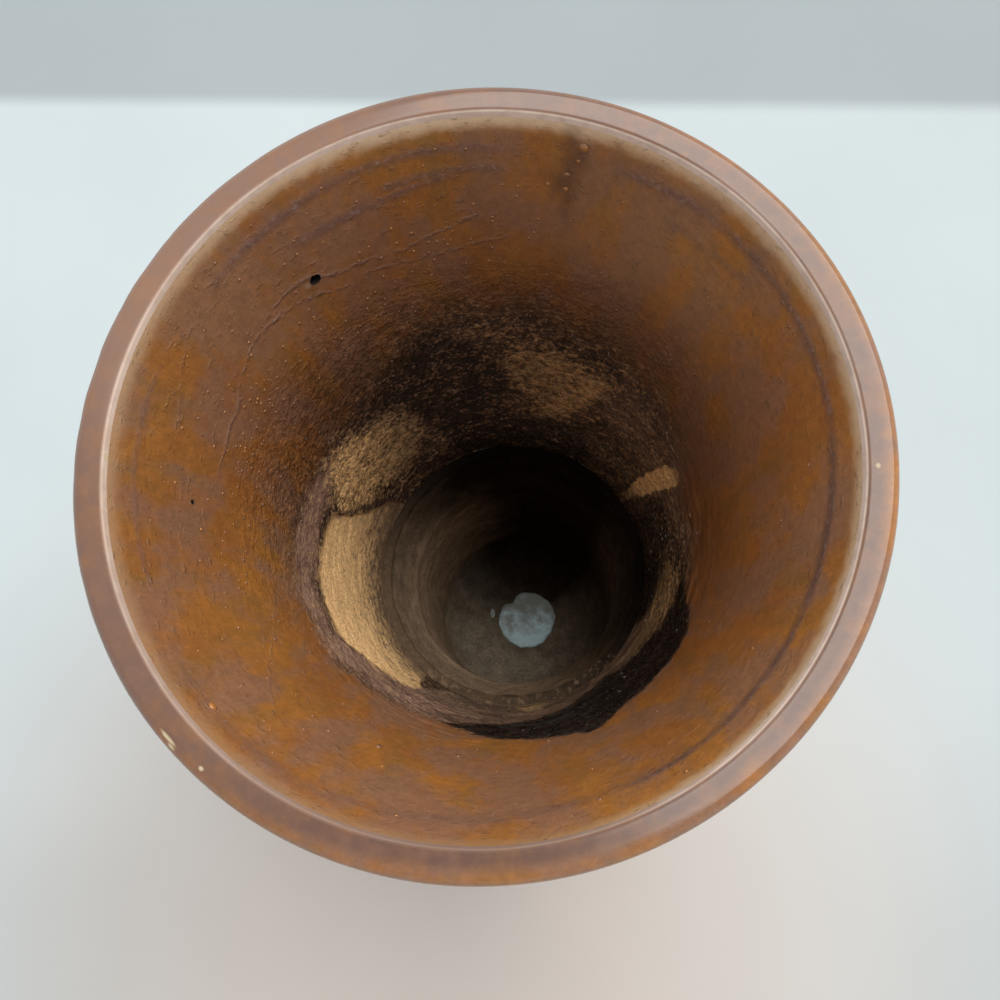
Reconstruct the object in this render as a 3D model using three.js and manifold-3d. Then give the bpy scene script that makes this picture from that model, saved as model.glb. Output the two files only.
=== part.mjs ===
// A turned wooden vase in two sections, glued at the waist by a spigot in a socket.
// Millimetres, +Z up. The origin is on the table, at the centre of the foot.

import * as THREE from 'three';
import { mergeVertices } from 'three/addons/utils/BufferGeometryUtils.js';
import Module from 'manifold-3d';

// Heights
const BODY_HEIGHT = 118;          // foot to the shoulder that carries the mouth section
const MOUTH_SECTION_HEIGHT = 150; // shoulder to the top of the lip
const SPIGOT_LENGTH = 16.4;       // how far the spigot stands up from the shoulder

// Mouth and lip
const MOUTH_DIAMETER = 150;
const LIP_WIDTH = 6.2;
const LIP_FALL = 0.3;             // the lip's inner edge lies this much below its outer edge
const LIP_OUTER_ROUND = 2;
const LIP_INNER_ROUND = 2;
const LIP_OUTER_ARC = [-15, 90];  // where each round starts and ends, degrees from straight out
const LIP_INNER_ARC = [90, 165];

// Funnel and throat
const THROAT_RADIUS = 40.5;       // the mouth section's inside radius at the joint
const FUNNEL_BOW = 1.4;           // how far the funnel bows inside a straight cone, half way down

// Joint at the waist
const SOCKET_SHOULDER = 3.75;     // width of the step inside the mouth section that the spigot meets
const SOCKET_WALL = 7.75;         // wood outside the socket
const GLUE_GAP = 0.3;             // clearance in every glued joint

// Bore of the body
const LEDGE_WIDTH = 2.6;          // how much of the spigot's end face shows in the throat
const NECK_LENGTH = 21;           // taper from the spigot's end down to the bore
const BORE_RADIUS = 32.7;
const BORE_CORNER = 20;           // radius of the round between the bore and its floor
const FLOOR_THICKNESS = 12.5;

// Foot
const FOOT_DIAMETER = 114;
const FOOT_ROUND = 3;
const FOOT_RING_WIDTH = 11;
const RECESS_DEPTH = 2;           // the hollow under the foot, which leaves a ring to stand on
const RECESS_SLOPE = 3;           // width of the sloping wall around that hollow

// Plugged pilot hole in the floor
const DOWEL_DIAMETER = 12;
const DOWEL_CHAMFER = 0.6;
const DAB_OVERLAP = 6.1;          // how far the filler spreads past the hole
const DAB_HEIGHT = 2;
const DAB_EDGE_HEIGHT = 0.5;
const DAB_UNEVENNESS = 0.05;      // how far its outline strays, as a share of its radius
const DAB_LONG_AXIS = 65;         // degrees from +X, towards +Y

// Wormhole in the funnel
const WORMHOLE_DIAMETER = 3.2;
const WORMHOLE_DEPTH = 4.5;
const WORMHOLE_BELOW_LIP = 29.4;
const WORMHOLE_ANGLE = 128.6;     // degrees from +X, towards +Y

// Shape of the outside, above and below the waist
const FLARE_POWER = 1.7;
const FOOT_POWER = 2;

// Fineness of the facets
const TURN_STEPS = 64;
const WALL_STEPS = 9;
const ROUND_STEP_ANGLE = 15;      // degrees
const DAB_STEPS = 4;
const WORMHOLE_SIDES = 12;

// Sizes that follow from the ones above
const HEIGHT = BODY_HEIGHT + MOUTH_SECTION_HEIGHT;
const SOCKET_RADIUS = THROAT_RADIUS + SOCKET_SHOULDER;
const SPIGOT_RADIUS = SOCKET_RADIUS - GLUE_GAP;
const SPIGOT_TOP = BODY_HEIGHT + SPIGOT_LENGTH;
const SOCKET_CEILING = SPIGOT_TOP + GLUE_GAP;
const SPIGOT_MOUTH_RADIUS = THROAT_RADIUS - LEDGE_WIDTH;
const WAIST_RADIUS = SOCKET_RADIUS + SOCKET_WALL;
const FLOOR_HEIGHT = RECESS_DEPTH + FLOOR_THICKNESS;
const DOWEL_RADIUS = DOWEL_DIAMETER / 2;
const HOLE_RADIUS = DOWEL_RADIUS + GLUE_GAP;
const DAB_RADIUS = HOLE_RADIUS + DAB_OVERLAP;

const point = (radius, height) => new THREE.Vector2(radius, height);

// Points along a round of a profile, from one angle to another, in degrees from +radius
function round(centre, radius, fromAngle, toAngle) {
  const steps = Math.round(Math.abs(toAngle - fromAngle) / ROUND_STEP_ANGLE);
  return Array.from({ length: steps + 1 }, (_, i) => {
    const angle = THREE.MathUtils.degToRad(THREE.MathUtils.lerp(fromAngle, toAngle, i / steps));
    return point(centre.x + radius * Math.cos(angle), centre.y + radius * Math.sin(angle));
  });
}

// Turns a closed profile about +Z
function turn(profile, steps = TURN_STEPS) {
  return new THREE.LatheGeometry(profile, steps).rotateX(Math.PI / 2);
}

// Radius of the outside between the waist and a wider end, as the flare or the foot grows to it
function flareRadius(share, endRadius, power) {
  return WAIST_RADIUS + (endRadius - WAIST_RADIUS) * share ** power;
}

// Centre of the round on the lip's inner edge
function lipInnerCentre() {
  return point(MOUTH_DIAMETER / 2 - LIP_WIDTH + LIP_INNER_ROUND, HEIGHT - LIP_FALL - LIP_INNER_ROUND);
}

// The funnel from the lip's inner round to the throat: a cone with its wall bowed inwards
function funnelPoint(share) {
  const top = point(lipInnerCentre().x - LIP_INNER_ROUND, lipInnerCentre().y);
  const throat = point(THROAT_RADIUS, SOCKET_CEILING);
  const bow = 4 * FUNNEL_BOW * share * (1 - share);
  const onCone = top.lerp(throat, share);
  return point(onCone.x - bow, onCone.y);
}

function wallPoints(pointAt, steps = WALL_STEPS) {
  return Array.from({ length: steps + 1 }, (_, i) => pointAt(i / steps));
}

// Upper section: flared outside, rolled lip, funnel, and the socket in its underside
function mouthSectionGeometry() {
  const underside = BODY_HEIGHT + GLUE_GAP;
  const lipOuterCentre = point(MOUTH_DIAMETER / 2 - LIP_OUTER_ROUND, HEIGHT - LIP_OUTER_ROUND);
  const lip = [
    ...round(lipOuterCentre, LIP_OUTER_ROUND, ...LIP_OUTER_ARC),
    ...round(lipInnerCentre(), LIP_INNER_ROUND, ...LIP_INNER_ARC),
  ];
  const outside = wallPoints((share) => point(
    flareRadius(share, lip[0].x, FLARE_POWER),
    THREE.MathUtils.lerp(underside, lip[0].y, share),
  ));
  return turn([
    ...outside.slice(0, -1),
    ...lip,
    ...wallPoints(funnelPoint).slice(1),
    point(SOCKET_RADIUS, SOCKET_CEILING),
    point(SOCKET_RADIUS, underside),
    outside[0],
  ]);
}

// Lower section: spigot, neck, round-bottomed bore, foot ring, and the pilot hole in the floor
function bodySectionGeometry() {
  const corner = Math.min(BORE_CORNER, BORE_RADIUS - DAB_RADIUS);
  const boreCorner = round(point(BORE_RADIUS - corner, FLOOR_HEIGHT + corner), corner, 0, -90);
  const footRound = round(point(FOOT_DIAMETER / 2 - FOOT_ROUND, FOOT_ROUND), FOOT_ROUND, -90, 0);
  const ringInner = FOOT_DIAMETER / 2 - FOOT_ROUND - FOOT_RING_WIDTH;
  const outside = wallPoints((share) => point(
    flareRadius(1 - share, FOOT_DIAMETER / 2, FOOT_POWER),
    THREE.MathUtils.lerp(FOOT_ROUND, BODY_HEIGHT, share),
  ));
  const start = point(HOLE_RADIUS, RECESS_DEPTH);
  return turn([
    start,
    point(ringInner - RECESS_SLOPE, RECESS_DEPTH),
    point(ringInner, 0),
    ...footRound.slice(0, -1),
    ...outside,
    point(SPIGOT_RADIUS, BODY_HEIGHT),
    point(SPIGOT_RADIUS, SPIGOT_TOP),
    point(SPIGOT_MOUTH_RADIUS, SPIGOT_TOP),
    point(BORE_RADIUS, SPIGOT_TOP - NECK_LENGTH),
    ...boreCorner,
    point(HOLE_RADIUS, FLOOR_HEIGHT),
    start,
  ]);
}

// Dowel glued into the pilot hole from below, flush with the floor and the recess
function dowelGeometry() {
  return turn([
    point(0, RECESS_DEPTH),
    point(DOWEL_RADIUS - DOWEL_CHAMFER, RECESS_DEPTH),
    point(DOWEL_RADIUS, RECESS_DEPTH + DOWEL_CHAMFER),
    point(DOWEL_RADIUS, FLOOR_HEIGHT),
    point(0, FLOOR_HEIGHT),
  ], TURN_STEPS / 2);
}

// Dab of filler over the dowel: a low dome with an uneven outline
function dabGeometry() {
  const underside = FLOOR_HEIGHT + GLUE_GAP;
  const dome = wallPoints((share) => point(
    DAB_RADIUS * Math.cos(share * Math.PI / 2),
    underside + DAB_EDGE_HEIGHT + (DAB_HEIGHT - DAB_EDGE_HEIGHT) * Math.sin(share * Math.PI / 2),
  ), DAB_STEPS).slice(0, -1);
  const geometry = turn([
    point(0, underside),
    point(DAB_RADIUS, underside),
    ...dome,
    point(0, underside + DAB_HEIGHT),
  ], TURN_STEPS / 2);
  return unevenOutline(geometry);
}

// Draws the outline in and out, in two lobes along the long axis and three about it
function unevenOutline(geometry) {
  const position = geometry.attributes.position;
  for (let i = 0; i < position.count; i += 1) {
    const bearing = Math.atan2(position.getY(i), position.getX(i));
    const angle = bearing - THREE.MathUtils.degToRad(DAB_LONG_AXIS);
    const scale = 1 + DAB_UNEVENNESS * (Math.cos(2 * angle) + Math.cos(3 * angle)) / 2;
    position.setXY(i, position.getX(i) * scale, position.getY(i) * scale);
  }
  return geometry;
}

const wasm = await Module();
wasm.setup();

function toSolid(geometry) {
  const bare = geometry.clone();
  bare.deleteAttribute('normal');
  bare.deleteAttribute('uv');
  const merged = mergeVertices(bare);
  return new wasm.Manifold(new wasm.Mesh({
    numProp: 3,
    vertProperties: new Float32Array(merged.attributes.position.array),
    triVerts: new Uint32Array(merged.index.array),
  }));
}

function toGeometry(solid) {
  const { vertProperties, triVerts } = solid.getMesh();
  const geometry = new THREE.BufferGeometry();
  geometry.setAttribute('position', new THREE.BufferAttribute(vertProperties, 3));
  geometry.setIndex(new THREE.BufferAttribute(triVerts, 1));
  return geometry;
}

// A drill shape that enters the funnel's wall square to it, at the wormhole's place
function wormholeCutter() {
  const lipTop = funnelPoint(0).y;
  const share = (WORMHOLE_BELOW_LIP - (HEIGHT - lipTop)) / (lipTop - SOCKET_CEILING);
  const entry = funnelPoint(share);
  const throat = funnelPoint(1);
  const wallTilt = Math.atan2(entry.x - throat.x, entry.y - throat.y);
  const drill = new THREE.CylinderGeometry(
    WORMHOLE_DIAMETER / 2, WORMHOLE_DIAMETER / 2, 2 * WORMHOLE_DEPTH, WORMHOLE_SIDES,
  );
  drill.rotateZ(Math.PI / 2);
  drill.rotateY(wallTilt);
  drill.translate(entry.x, 0, entry.y);
  return drill.rotateZ(THREE.MathUtils.degToRad(WORMHOLE_ANGLE));
}

function woodMaterial(color, roughness) {
  return new THREE.MeshStandardMaterial({ color, roughness, metalness: 0 });
}

function addPiece(group, name, geometry, material) {
  const mesh = new THREE.Mesh(geometry, material);
  mesh.name = name;
  geometry.computeVertexNormals();
  group.add(mesh);
}

const vase = new THREE.Group();
const drilledMouth = toSolid(mouthSectionGeometry()).subtract(toSolid(wormholeCutter()));
addPiece(vase, 'mouth_section', toGeometry(drilledMouth), woodMaterial(0x8f5420, 0.3));
addPiece(vase, 'body_section', bodySectionGeometry(), woodMaterial(0x7a4a22, 0.45));
addPiece(vase, 'centre_dowel', dowelGeometry(), woodMaterial(0xb08a5a, 0.7));
addPiece(vase, 'filler_dab', dabGeometry(), woodMaterial(0x7d8c8c, 0.6));

export default vase;
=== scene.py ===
"""The finish of a turned wooden vase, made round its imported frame."""

import math

import bmesh
import bpy
import numpy as np
from mathutils import Matrix, Vector, noise


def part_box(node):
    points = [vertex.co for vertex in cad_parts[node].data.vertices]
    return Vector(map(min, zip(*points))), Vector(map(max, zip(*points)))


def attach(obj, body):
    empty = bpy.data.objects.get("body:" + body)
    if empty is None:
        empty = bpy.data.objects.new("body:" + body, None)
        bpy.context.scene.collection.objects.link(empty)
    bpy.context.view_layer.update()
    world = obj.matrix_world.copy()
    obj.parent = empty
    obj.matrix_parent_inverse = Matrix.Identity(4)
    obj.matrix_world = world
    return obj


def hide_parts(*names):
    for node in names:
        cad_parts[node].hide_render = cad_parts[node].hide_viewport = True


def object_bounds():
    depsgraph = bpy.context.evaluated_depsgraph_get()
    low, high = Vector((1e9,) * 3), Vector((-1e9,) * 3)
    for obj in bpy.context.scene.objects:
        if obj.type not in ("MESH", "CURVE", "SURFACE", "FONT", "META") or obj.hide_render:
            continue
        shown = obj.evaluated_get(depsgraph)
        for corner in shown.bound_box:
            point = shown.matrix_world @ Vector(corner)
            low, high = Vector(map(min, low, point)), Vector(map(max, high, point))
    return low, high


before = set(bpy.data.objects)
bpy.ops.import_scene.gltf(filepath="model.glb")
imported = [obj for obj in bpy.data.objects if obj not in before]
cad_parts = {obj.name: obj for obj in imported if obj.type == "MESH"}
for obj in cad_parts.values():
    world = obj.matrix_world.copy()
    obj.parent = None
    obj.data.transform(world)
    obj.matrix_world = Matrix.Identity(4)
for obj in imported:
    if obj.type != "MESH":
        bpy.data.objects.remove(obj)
CAD_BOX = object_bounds()

bl_info = {
    "name": "Turned Vase",
    "version": (1, 0, 0),
    "blender": (4, 5, 0),
    "location": "View3D > Sidebar > Vase",
    "description": "Dresses a two-part turned vase in lacquer, torn grain, filler and dust",
    "category": "Add Mesh",
}

MM = 0.001
LIP_HEIGHT = CAD_BOX[1].z
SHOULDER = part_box("mouth_section")[0].z
SPIGOT_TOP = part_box("body_section")[1].z
FLOOR_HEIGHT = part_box("centre_dowel")[1].z
RECESS_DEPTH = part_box("centre_dowel")[0].z
SEED = 7


def length_of(name, text, size):
    return bpy.props.FloatProperty(name=name, description=text, default=size, unit="LENGTH")


def colour_of(name, text, value):
    return bpy.props.FloatVectorProperty(name=name, description=text, default=value, subtype="COLOR",
                                         size=3)


class VaseSizes(bpy.types.PropertyGroup):
    """The turner's sizes; the lip's inner round and its fall are finer than the frame's."""

    mouth_radius: length_of("Mouth Radius", "Outside of the lip", CAD_BOX[1].x)
    lip_width: length_of("Lip Width", "Lip from edge to edge", 6.2 * MM)
    lip_fall: length_of("Lip Fall", "Inner edge below the outer one", 0.1 * MM)
    lip_outer_round: length_of("Lip Outer Round", "Radius of the lip's outer edge", 2.0 * MM)
    lip_inner_round: length_of("Lip Inner Round", "Radius of the lip's inner edge", 0.8 * MM)
    throat_radius: length_of("Throat Radius", "Foot of the funnel", 40.5 * MM)
    funnel_bow: length_of("Funnel Bow", "Funnel wall inside a straight cone", 1.4 * MM)
    socket_shoulder: length_of("Socket Shoulder", "Step over the spigot", 3.75 * MM)
    socket_wall: length_of("Socket Wall", "Wood outside the socket", 7.75 * MM)
    glue_gap: length_of("Glue Gap", "Clearance in the joints", 0.3 * MM)
    ledge_width: length_of("Ledge Width", "Spigot end seen in the throat", 2.6 * MM)
    neck_length: length_of("Neck Length", "Taper from the spigot's end to the bore", 21 * MM)
    bore_radius: length_of("Bore Radius", "Bore of the body", 32.7 * MM)
    bore_corner: length_of("Bore Corner", "Round between bore and floor", 20 * MM)
    foot_radius: length_of("Foot Radius", "Outside of the foot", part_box("body_section")[1].x)
    foot_round: length_of("Foot Round", "Radius of the foot's edge", 3 * MM)
    foot_ring_width: length_of("Foot Ring Width", "Flat ring that it stands on", 11 * MM)
    recess_slope: length_of("Recess Slope", "Sloping wall under the foot", 3 * MM)
    dowel_radius: length_of("Dowel Radius", "Plug in the floor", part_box("centre_dowel")[1].x)
    dab_radius: length_of("Dab Radius", "Filler over the plug", 12.4 * MM)
    dab_height: length_of("Dab Height", "Filler over the floor", 2.3 * MM)


class VaseColours(bpy.types.PropertyGroup):
    """Colours of the wood and of what lies on it."""

    amber: colour_of("Amber", "Lacquered wood at its clearest", (0.46, 0.185, 0.038))
    russet: colour_of("Russet", "Redder streaks", (0.35, 0.130, 0.035))
    olive: colour_of("Olive", "Browner streaks", (0.30, 0.15, 0.040))
    violet: colour_of("Violet", "Brown-violet growth lines and haze", (0.185, 0.104, 0.086))
    tan: colour_of("Tan", "Bare wood in the throat", (0.95, 0.60, 0.27))
    umber: colour_of("Umber", "Rough stained wood", (0.060, 0.036, 0.026))
    stain: colour_of("Stain", "Near-black purple stain", (0.010, 0.006, 0.006))
    # The bore's colour is its wood where painted light falls on it
    bore: colour_of("Bore", "Dull wood of the bore", (0.60, 0.42, 0.27))
    filler: colour_of("Filler", "Blue-grey filler", (0.63, 0.93, 1.0))


# The lacquer's hazy film, the lip with its painted sheen and painted highlight, and painted light under the
# lip
FILM = (0.31, 0.165, 0.105)
LIP_DARK = (0.105, 0.050, 0.034)
LIP_SHEEN = (0.27, 0.160, 0.115)
WORN_AND_HIGHLIGHT = (0.90, 0.71, 0.58)
WORN_OUTSIDE = (0.84, 0.66, 0.46)
UNDER_LIP_SHADE = (0.44, 0.25, 0.13)
UNDER_LIP_LIGHT = (0.66, 0.32, 0.09)
CHIPPED = (0.60, 0.49, 0.32)
# Rough wood below the lacquer
BROWN = (0.170, 0.095, 0.054)
MAUVE_DARK = (0.165, 0.096, 0.068)
MAUVE_LIGHT = (0.262, 0.156, 0.108)
MAUVE_LOW = (0.155, 0.112, 0.075)
RUDDY_BROWN = (0.22, 0.136, 0.088)
TAN_SHADED = (0.200, 0.128, 0.075)
# Painted shade along a crease
CREASE_SHADE_BROWN = (0.075, 0.042, 0.034)
NEAR_BLACK = (0.022, 0.013, 0.010)
# On the funnel's lacquer, with its painted shade, painted light and painted glints
FAR_SHADE_BROWN = (0.060, 0.030, 0.018)
PAINTED_EDGE_LIGHT = (0.92, 0.68, 0.44)
RAISED = (0.215, 0.125, 0.098)
GLINT = (0.44, 0.33, 0.29)
HOLE_EDGE = (0.50, 0.38, 0.30)
KNOT_DARK = (0.045, 0.028, 0.024)
# In the bore and on its floor, with their painted light and shade
BORE_UNLIT = (0.026, 0.016, 0.010)
BORE_RIGHT_LIT = (0.115, 0.084, 0.056)
BORE_FLOOR_LIT = (0.37, 0.30, 0.215)
CRACK_AND_SHADE = (0.003, 0.002, 0.002)
CRACK_FIBRES = (0.125, 0.084, 0.052)
SPIGOT_BITS = (0.30, 0.20, 0.12)
TOOL_MARK = (0.20, 0.13, 0.08)
# Filler, dust, fibres, and beetle holes with painted shade inside
CHALK = (0.95, 1.0, 1.0)
FILLER_DARK = (0.30, 0.31, 0.27)
NIB_DEEP = (0.11, 0.062, 0.036)
FIBRE_DARK = (0.08, 0.05, 0.035)
FIBRE_PALE = (0.55, 0.47, 0.40)
HOLE_SHADE = (0.008, 0.004, 0.003)
HOLE_DUST = (0.05, 0.03, 0.02)
# The studio, with painted shade and bounce light on the table
TABLE = (0.583, 0.648, 0.657)
TABLE_SHADE_AND_BOUNCE = (0.644, 0.575, 0.519)
GROUND = (0.385, 0.43, 0.44)
SKY_LOW = (0.80, 0.85, 0.90)
SKY_HIGH = (0.28, 0.30, 0.33)
WHITE = (1.0, 1.0, 1.0)

# Flattens a place onto the floor, and stretches noise about 0.5 to about -1 to 1
FLAT = (1.0, 1.0, 0.0)
NOISE_REACH = 4.0


class Graph:
    """Puts nodes in a shader or geometry tree and links them."""

    def __init__(self, tree):
        self.tree = tree

    def node(self, kind, **settings):
        made = self.tree.nodes.new(kind)
        for name, value in settings.items():
            setattr(made, name, value)
        return made

    def put(self, socket, value):
        if isinstance(value, bpy.types.NodeSocket):
            self.tree.links.new(value, socket)
        elif value is not None:
            if hasattr(value, "__len__") and len(value) == 3 and socket.type == "RGBA":
                value = (*value, 1.0)
            socket.default_value = value

    def filled(self, kind, values, **settings):
        """Outputs of a new node, some of its inputs filled by name or number."""
        made = self.node(kind, **settings)
        for key, value in values.items():
            self.put(made.inputs[key], value)
        return made.outputs

    def math(self, operation, *values):
        return self.filled("ShaderNodeMath", dict(enumerate(values)), operation=operation)[0]

    def vector(self, operation, a, b=None, scale=None):
        made = self.filled("ShaderNodeVectorMath", {0: a, 1: b, 3: scale}, operation=operation)
        return made["Value" if operation in ("LENGTH", "DOT_PRODUCT") else "Vector"]

    def span(self, value, low, high, to_low=0.0, to_high=1.0, smooth=True):
        """A value carried from one range to another, eased at both ends where smooth."""
        ends = {"Value": value, "From Min": low, "From Max": high, "To Min": to_low, "To Max": to_high}
        return self.filled("ShaderNodeMapRange", ends,
                           interpolation_type="SMOOTHSTEP" if smooth else "LINEAR")[0]

    def mix(self, share, a, b, blend="MIX"):
        return self.filled("ShaderNodeMix", {"Factor": share, 6: a, 7: b}, data_type="RGBA",
                           blend_type=blend)[2]

    def times(self, a, b):
        return self.math("MULTIPLY", a, b)

    def plus(self, a, b):
        return self.math("ADD", a, b)

    def minus(self, a, b):
        return self.math("SUBTRACT", a, b)

    def most(self, a, b):
        return self.math("MAXIMUM", a, b)

    def times_plus(self, a, b, c):
        return self.math("MULTIPLY_ADD", a, b, c)

    def stretch(self, place, factors):
        return self.vector("MULTIPLY", place, factors)

    def tint(self, colour, shade):
        """A colour made lighter or darker by a shade around 1."""
        return self.mix(1.0, colour, shade, "MULTIPLY")

    def split(self, place):
        return self.filled("ShaderNodeSeparateXYZ", {0: place})

    def noise(self, place, scale, detail=2.0, roughness=0.5):
        looks = {"Vector": place, "Scale": scale, "Detail": detail, "Roughness": roughness}
        return self.filled("ShaderNodeTexNoise", looks)["Fac"]

    def group(self, name, **values):
        named = {key.replace("_", " ").title(): value for key, value in values.items()}
        return self.filled("ShaderNodeGroup", named, node_tree=bpy.data.node_groups[name])

    def bump(self, height, strength, distance):
        return self.filled("ShaderNodeBump", {"Height": height, "Strength": strength,
                                              "Distance": distance})[0]


def new_group(name, inputs, outputs, fill):
    """A shader node group with named sockets; fill(graph, ins) returns what each output gets."""
    tree = bpy.data.node_groups.new(name, "ShaderNodeTree")
    for key, kind, default in inputs:
        socket = tree.interface.new_socket(key, in_out="INPUT", socket_type="NodeSocket" + kind)
        if default is not None:
            socket.default_value = default
    for key, kind in outputs:
        tree.interface.new_socket(key, in_out="OUTPUT", socket_type="NodeSocket" + kind)
    graph = Graph(tree)
    start = graph.node("NodeGroupInput")
    end = graph.node("NodeGroupOutput")
    for key, value in fill(graph, start.outputs).items():
        graph.put(end.inputs[key], value)


def fill_place(g, ins):
    """Millimetres from the origin, depth below the lip, angle from +X and distance from the axis."""
    place = g.vector("SCALE", g.node("ShaderNodeTexCoord").outputs["Object"], scale=1 / MM)
    x, y, z = g.split(place)
    angle = g.math("DEGREES", g.math("ARCTAN2", y, x))
    return {
        "Place": place,
        "Depth": g.minus(LIP_HEIGHT / MM, z),
        "Angle": g.math("WRAP", angle, 360.0, 0.0),
        "Radius": g.vector("LENGTH", g.stretch(place, FLAT)),
    }


def fill_patch(g, ins):
    """1 inside a ragged oval body round a point given by angle, radius and depth, 0 outside it."""
    angle = g.math("RADIANS", g.times(ins["Angle"], -1.0))
    turned = g.filled("ShaderNodeVectorRotate", {"Vector": ins["Place"], "Angle": angle},
                      rotation_type="Z_AXIS")[0]
    middle = g.filled("ShaderNodeCombineXYZ",
                      {"X": ins["Radius"], "Z": g.minus(LIP_HEIGHT / MM, ins["Depth"])})[0]
    halves = g.filled("ShaderNodeCombineXYZ", {
        "X": ins["Half Out"], "Y": ins["Half Across"], "Z": ins["Half Down"]})[0]
    away = g.vector("DIVIDE", g.vector("SUBTRACT", turned, middle), halves)
    wander = g.minus(g.noise(ins["Place"], 0.4, 5.0, 0.65), 0.5)
    reach = g.times_plus(wander, g.times(ins["Ragged"], NOISE_REACH), g.vector("LENGTH", away))
    inner = g.minus(1.0, ins["Softness"])
    outer = g.plus(1.0, ins["Softness"])
    return {"Mask": g.minus(1.0, g.span(reach, inner, outer))}


def fill_growth(g, ins):
    """Figure of the growth rings between their lines, as the turned wall cuts through them."""
    drift = g.minus(g.noise(g.stretch(ins["Place"], (1.0, 1.0, 0.55)), 0.02, 1.0), 0.5)
    off_pith = g.stretch(g.vector("SUBTRACT", ins["Place"], (2.5, -1.9, 0.0)), FLAT)
    age = g.times_plus(drift, 14.0, g.vector("LENGTH", off_pith))
    return {"Figure": g.noise(g.times(age, 0.9), 1.0, 2.0)}


def fill_lacquered(g, ins):
    """Colour and height of lacquered wood: blotches, streaks along the grain, and pores."""
    growth = g.group("Growth rings", place=ins["Place"])
    along = g.stretch(ins["Place"], (1.0, 1.0, 0.12))
    blotch = g.noise(g.stretch(ins["Place"], (1.0, 1.0, 0.7)), 0.035, 4.0, 0.6)
    streak = g.noise(along, 0.16, 4.0, 0.6)
    fibre = g.noise(along, 1.6, 3.0, 0.6)
    mottle = g.noise(ins["Place"], 0.45, 4.0, 0.65)
    pores = g.noise(g.stretch(ins["Place"], (1.0, 1.0, 0.3)), 2.0, 2.0, 0.6)
    film = g.noise(g.stretch(ins["Place"], (1.0, 1.0, 0.45)), 0.085, 3.0, 0.62)
    colour = g.mix(g.span(blotch, 0.34, 0.66, 0.15, 1.0), ins["Russet"], ins["Amber"])
    colour = g.mix(g.span(streak, 0.45, 0.72, 0.0, 0.7), colour, ins["Olive"])
    colour = g.mix(g.span(growth["Figure"], 0.5, 0.75, 0.0, 0.35), colour, ins["Russet"])
    colour = g.mix(g.span(film, 0.40, 0.60, 0.0, 0.68), colour, FILM)
    shade = g.times(g.span(fibre, 0.25, 0.75, 0.90, 1.09, smooth=False),
                    g.span(mottle, 0.3, 0.7, 0.84, 1.13, smooth=False))
    shade = g.times(shade, g.span(pores, 0.64, 0.78, 1.0, 0.62))
    return {"Colour": g.tint(colour, shade), "Height": g.times(fibre, 0.12)}


def fill_torn(g, ins):
    """Torn grain: sandy specks, dashes that run round the wall, clumps, creases, and their height."""
    sand = g.noise(ins["Place"], 0.95, 3.0, 0.62)
    dash = g.noise(g.stretch(ins["Place"], (0.68, 0.68, 1.0)), 0.55, 4.0, 0.66)
    clump = g.noise(g.stretch(ins["Place"], (0.6, 0.6, 1.0)), 0.2, 3.0, 0.6)
    fold = g.noise(g.stretch(ins["Place"], (0.75, 0.75, 1.0)), 0.42, 2.0, 0.55)
    crease = g.span(g.math("ABSOLUTE", g.minus(fold, 0.5)), 0.0, 0.07)
    height = g.times_plus(dash, 0.9, g.times_plus(clump, 0.5, g.times(sand, 0.9)))
    height = g.times_plus(g.minus(crease, 0.8), 0.16, height)
    return {"Sand": sand, "Dash": dash, "Clump": clump, "Crease": crease, "Height": height}


def sockets(kind, *names):
    return [(name, kind) for name in names]


def build_groups():
    """Makes the shader node groups that the materials share."""
    where = ("Place", "Vector", None)
    new_group("Turning place", [], [("Place", "Vector"), *sockets("Float", "Depth", "Angle", "Radius")],
              fill_place)
    new_group("Oval patch", [
        where, ("Angle", "Float", 0.0), ("Radius", "Float", 60.0), ("Depth", "Float", 0.0),
        ("Half Out", "Float", 5.0), ("Half Across", "Float", 5.0), ("Half Down", "Float", 5.0),
        ("Ragged", "Float", 0.3), ("Softness", "Float", 0.1),
    ], [("Mask", "Float")], fill_patch)
    new_group("Growth rings", [where], [("Figure", "Float")], fill_growth)
    new_group("Lacquered wood", [where, ("Amber", "Color", None), ("Russet", "Color", None),
                                 ("Olive", "Color", None)], [("Colour", "Color"),
                                                             ("Height", "Float")], fill_lacquered)
    new_group("Torn grain", [where], sockets("Float", "Sand", "Dash", "Clump", "Crease", "Height"),
              fill_torn)


def material(name, roughness, coat=0.0, coat_roughness=0.1):
    """A new material; returns it with its graph and its surface shader."""
    made = bpy.data.materials.new(name)
    made.use_nodes = True
    graph = Graph(made.node_tree)
    surface = made.node_tree.nodes["Principled BSDF"]
    surface.inputs["Roughness"].default_value = roughness
    surface.inputs["Coat Weight"].default_value = coat
    surface.inputs["Coat Roughness"].default_value = coat_roughness
    return made, graph, surface


def dress(g, surface, colour, height, strength, distance):
    """Gives a surface its colour and its bumps."""
    g.put(surface.inputs["Base Color"], colour)
    g.put(surface.inputs["Normal"], g.bump(height, strength, distance))


def lacquer_values(colours):
    """The colours that the lacquered wood group takes."""
    return {"amber": colours.amber, "russet": colours.russet, "olive": colours.olive}


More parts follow.
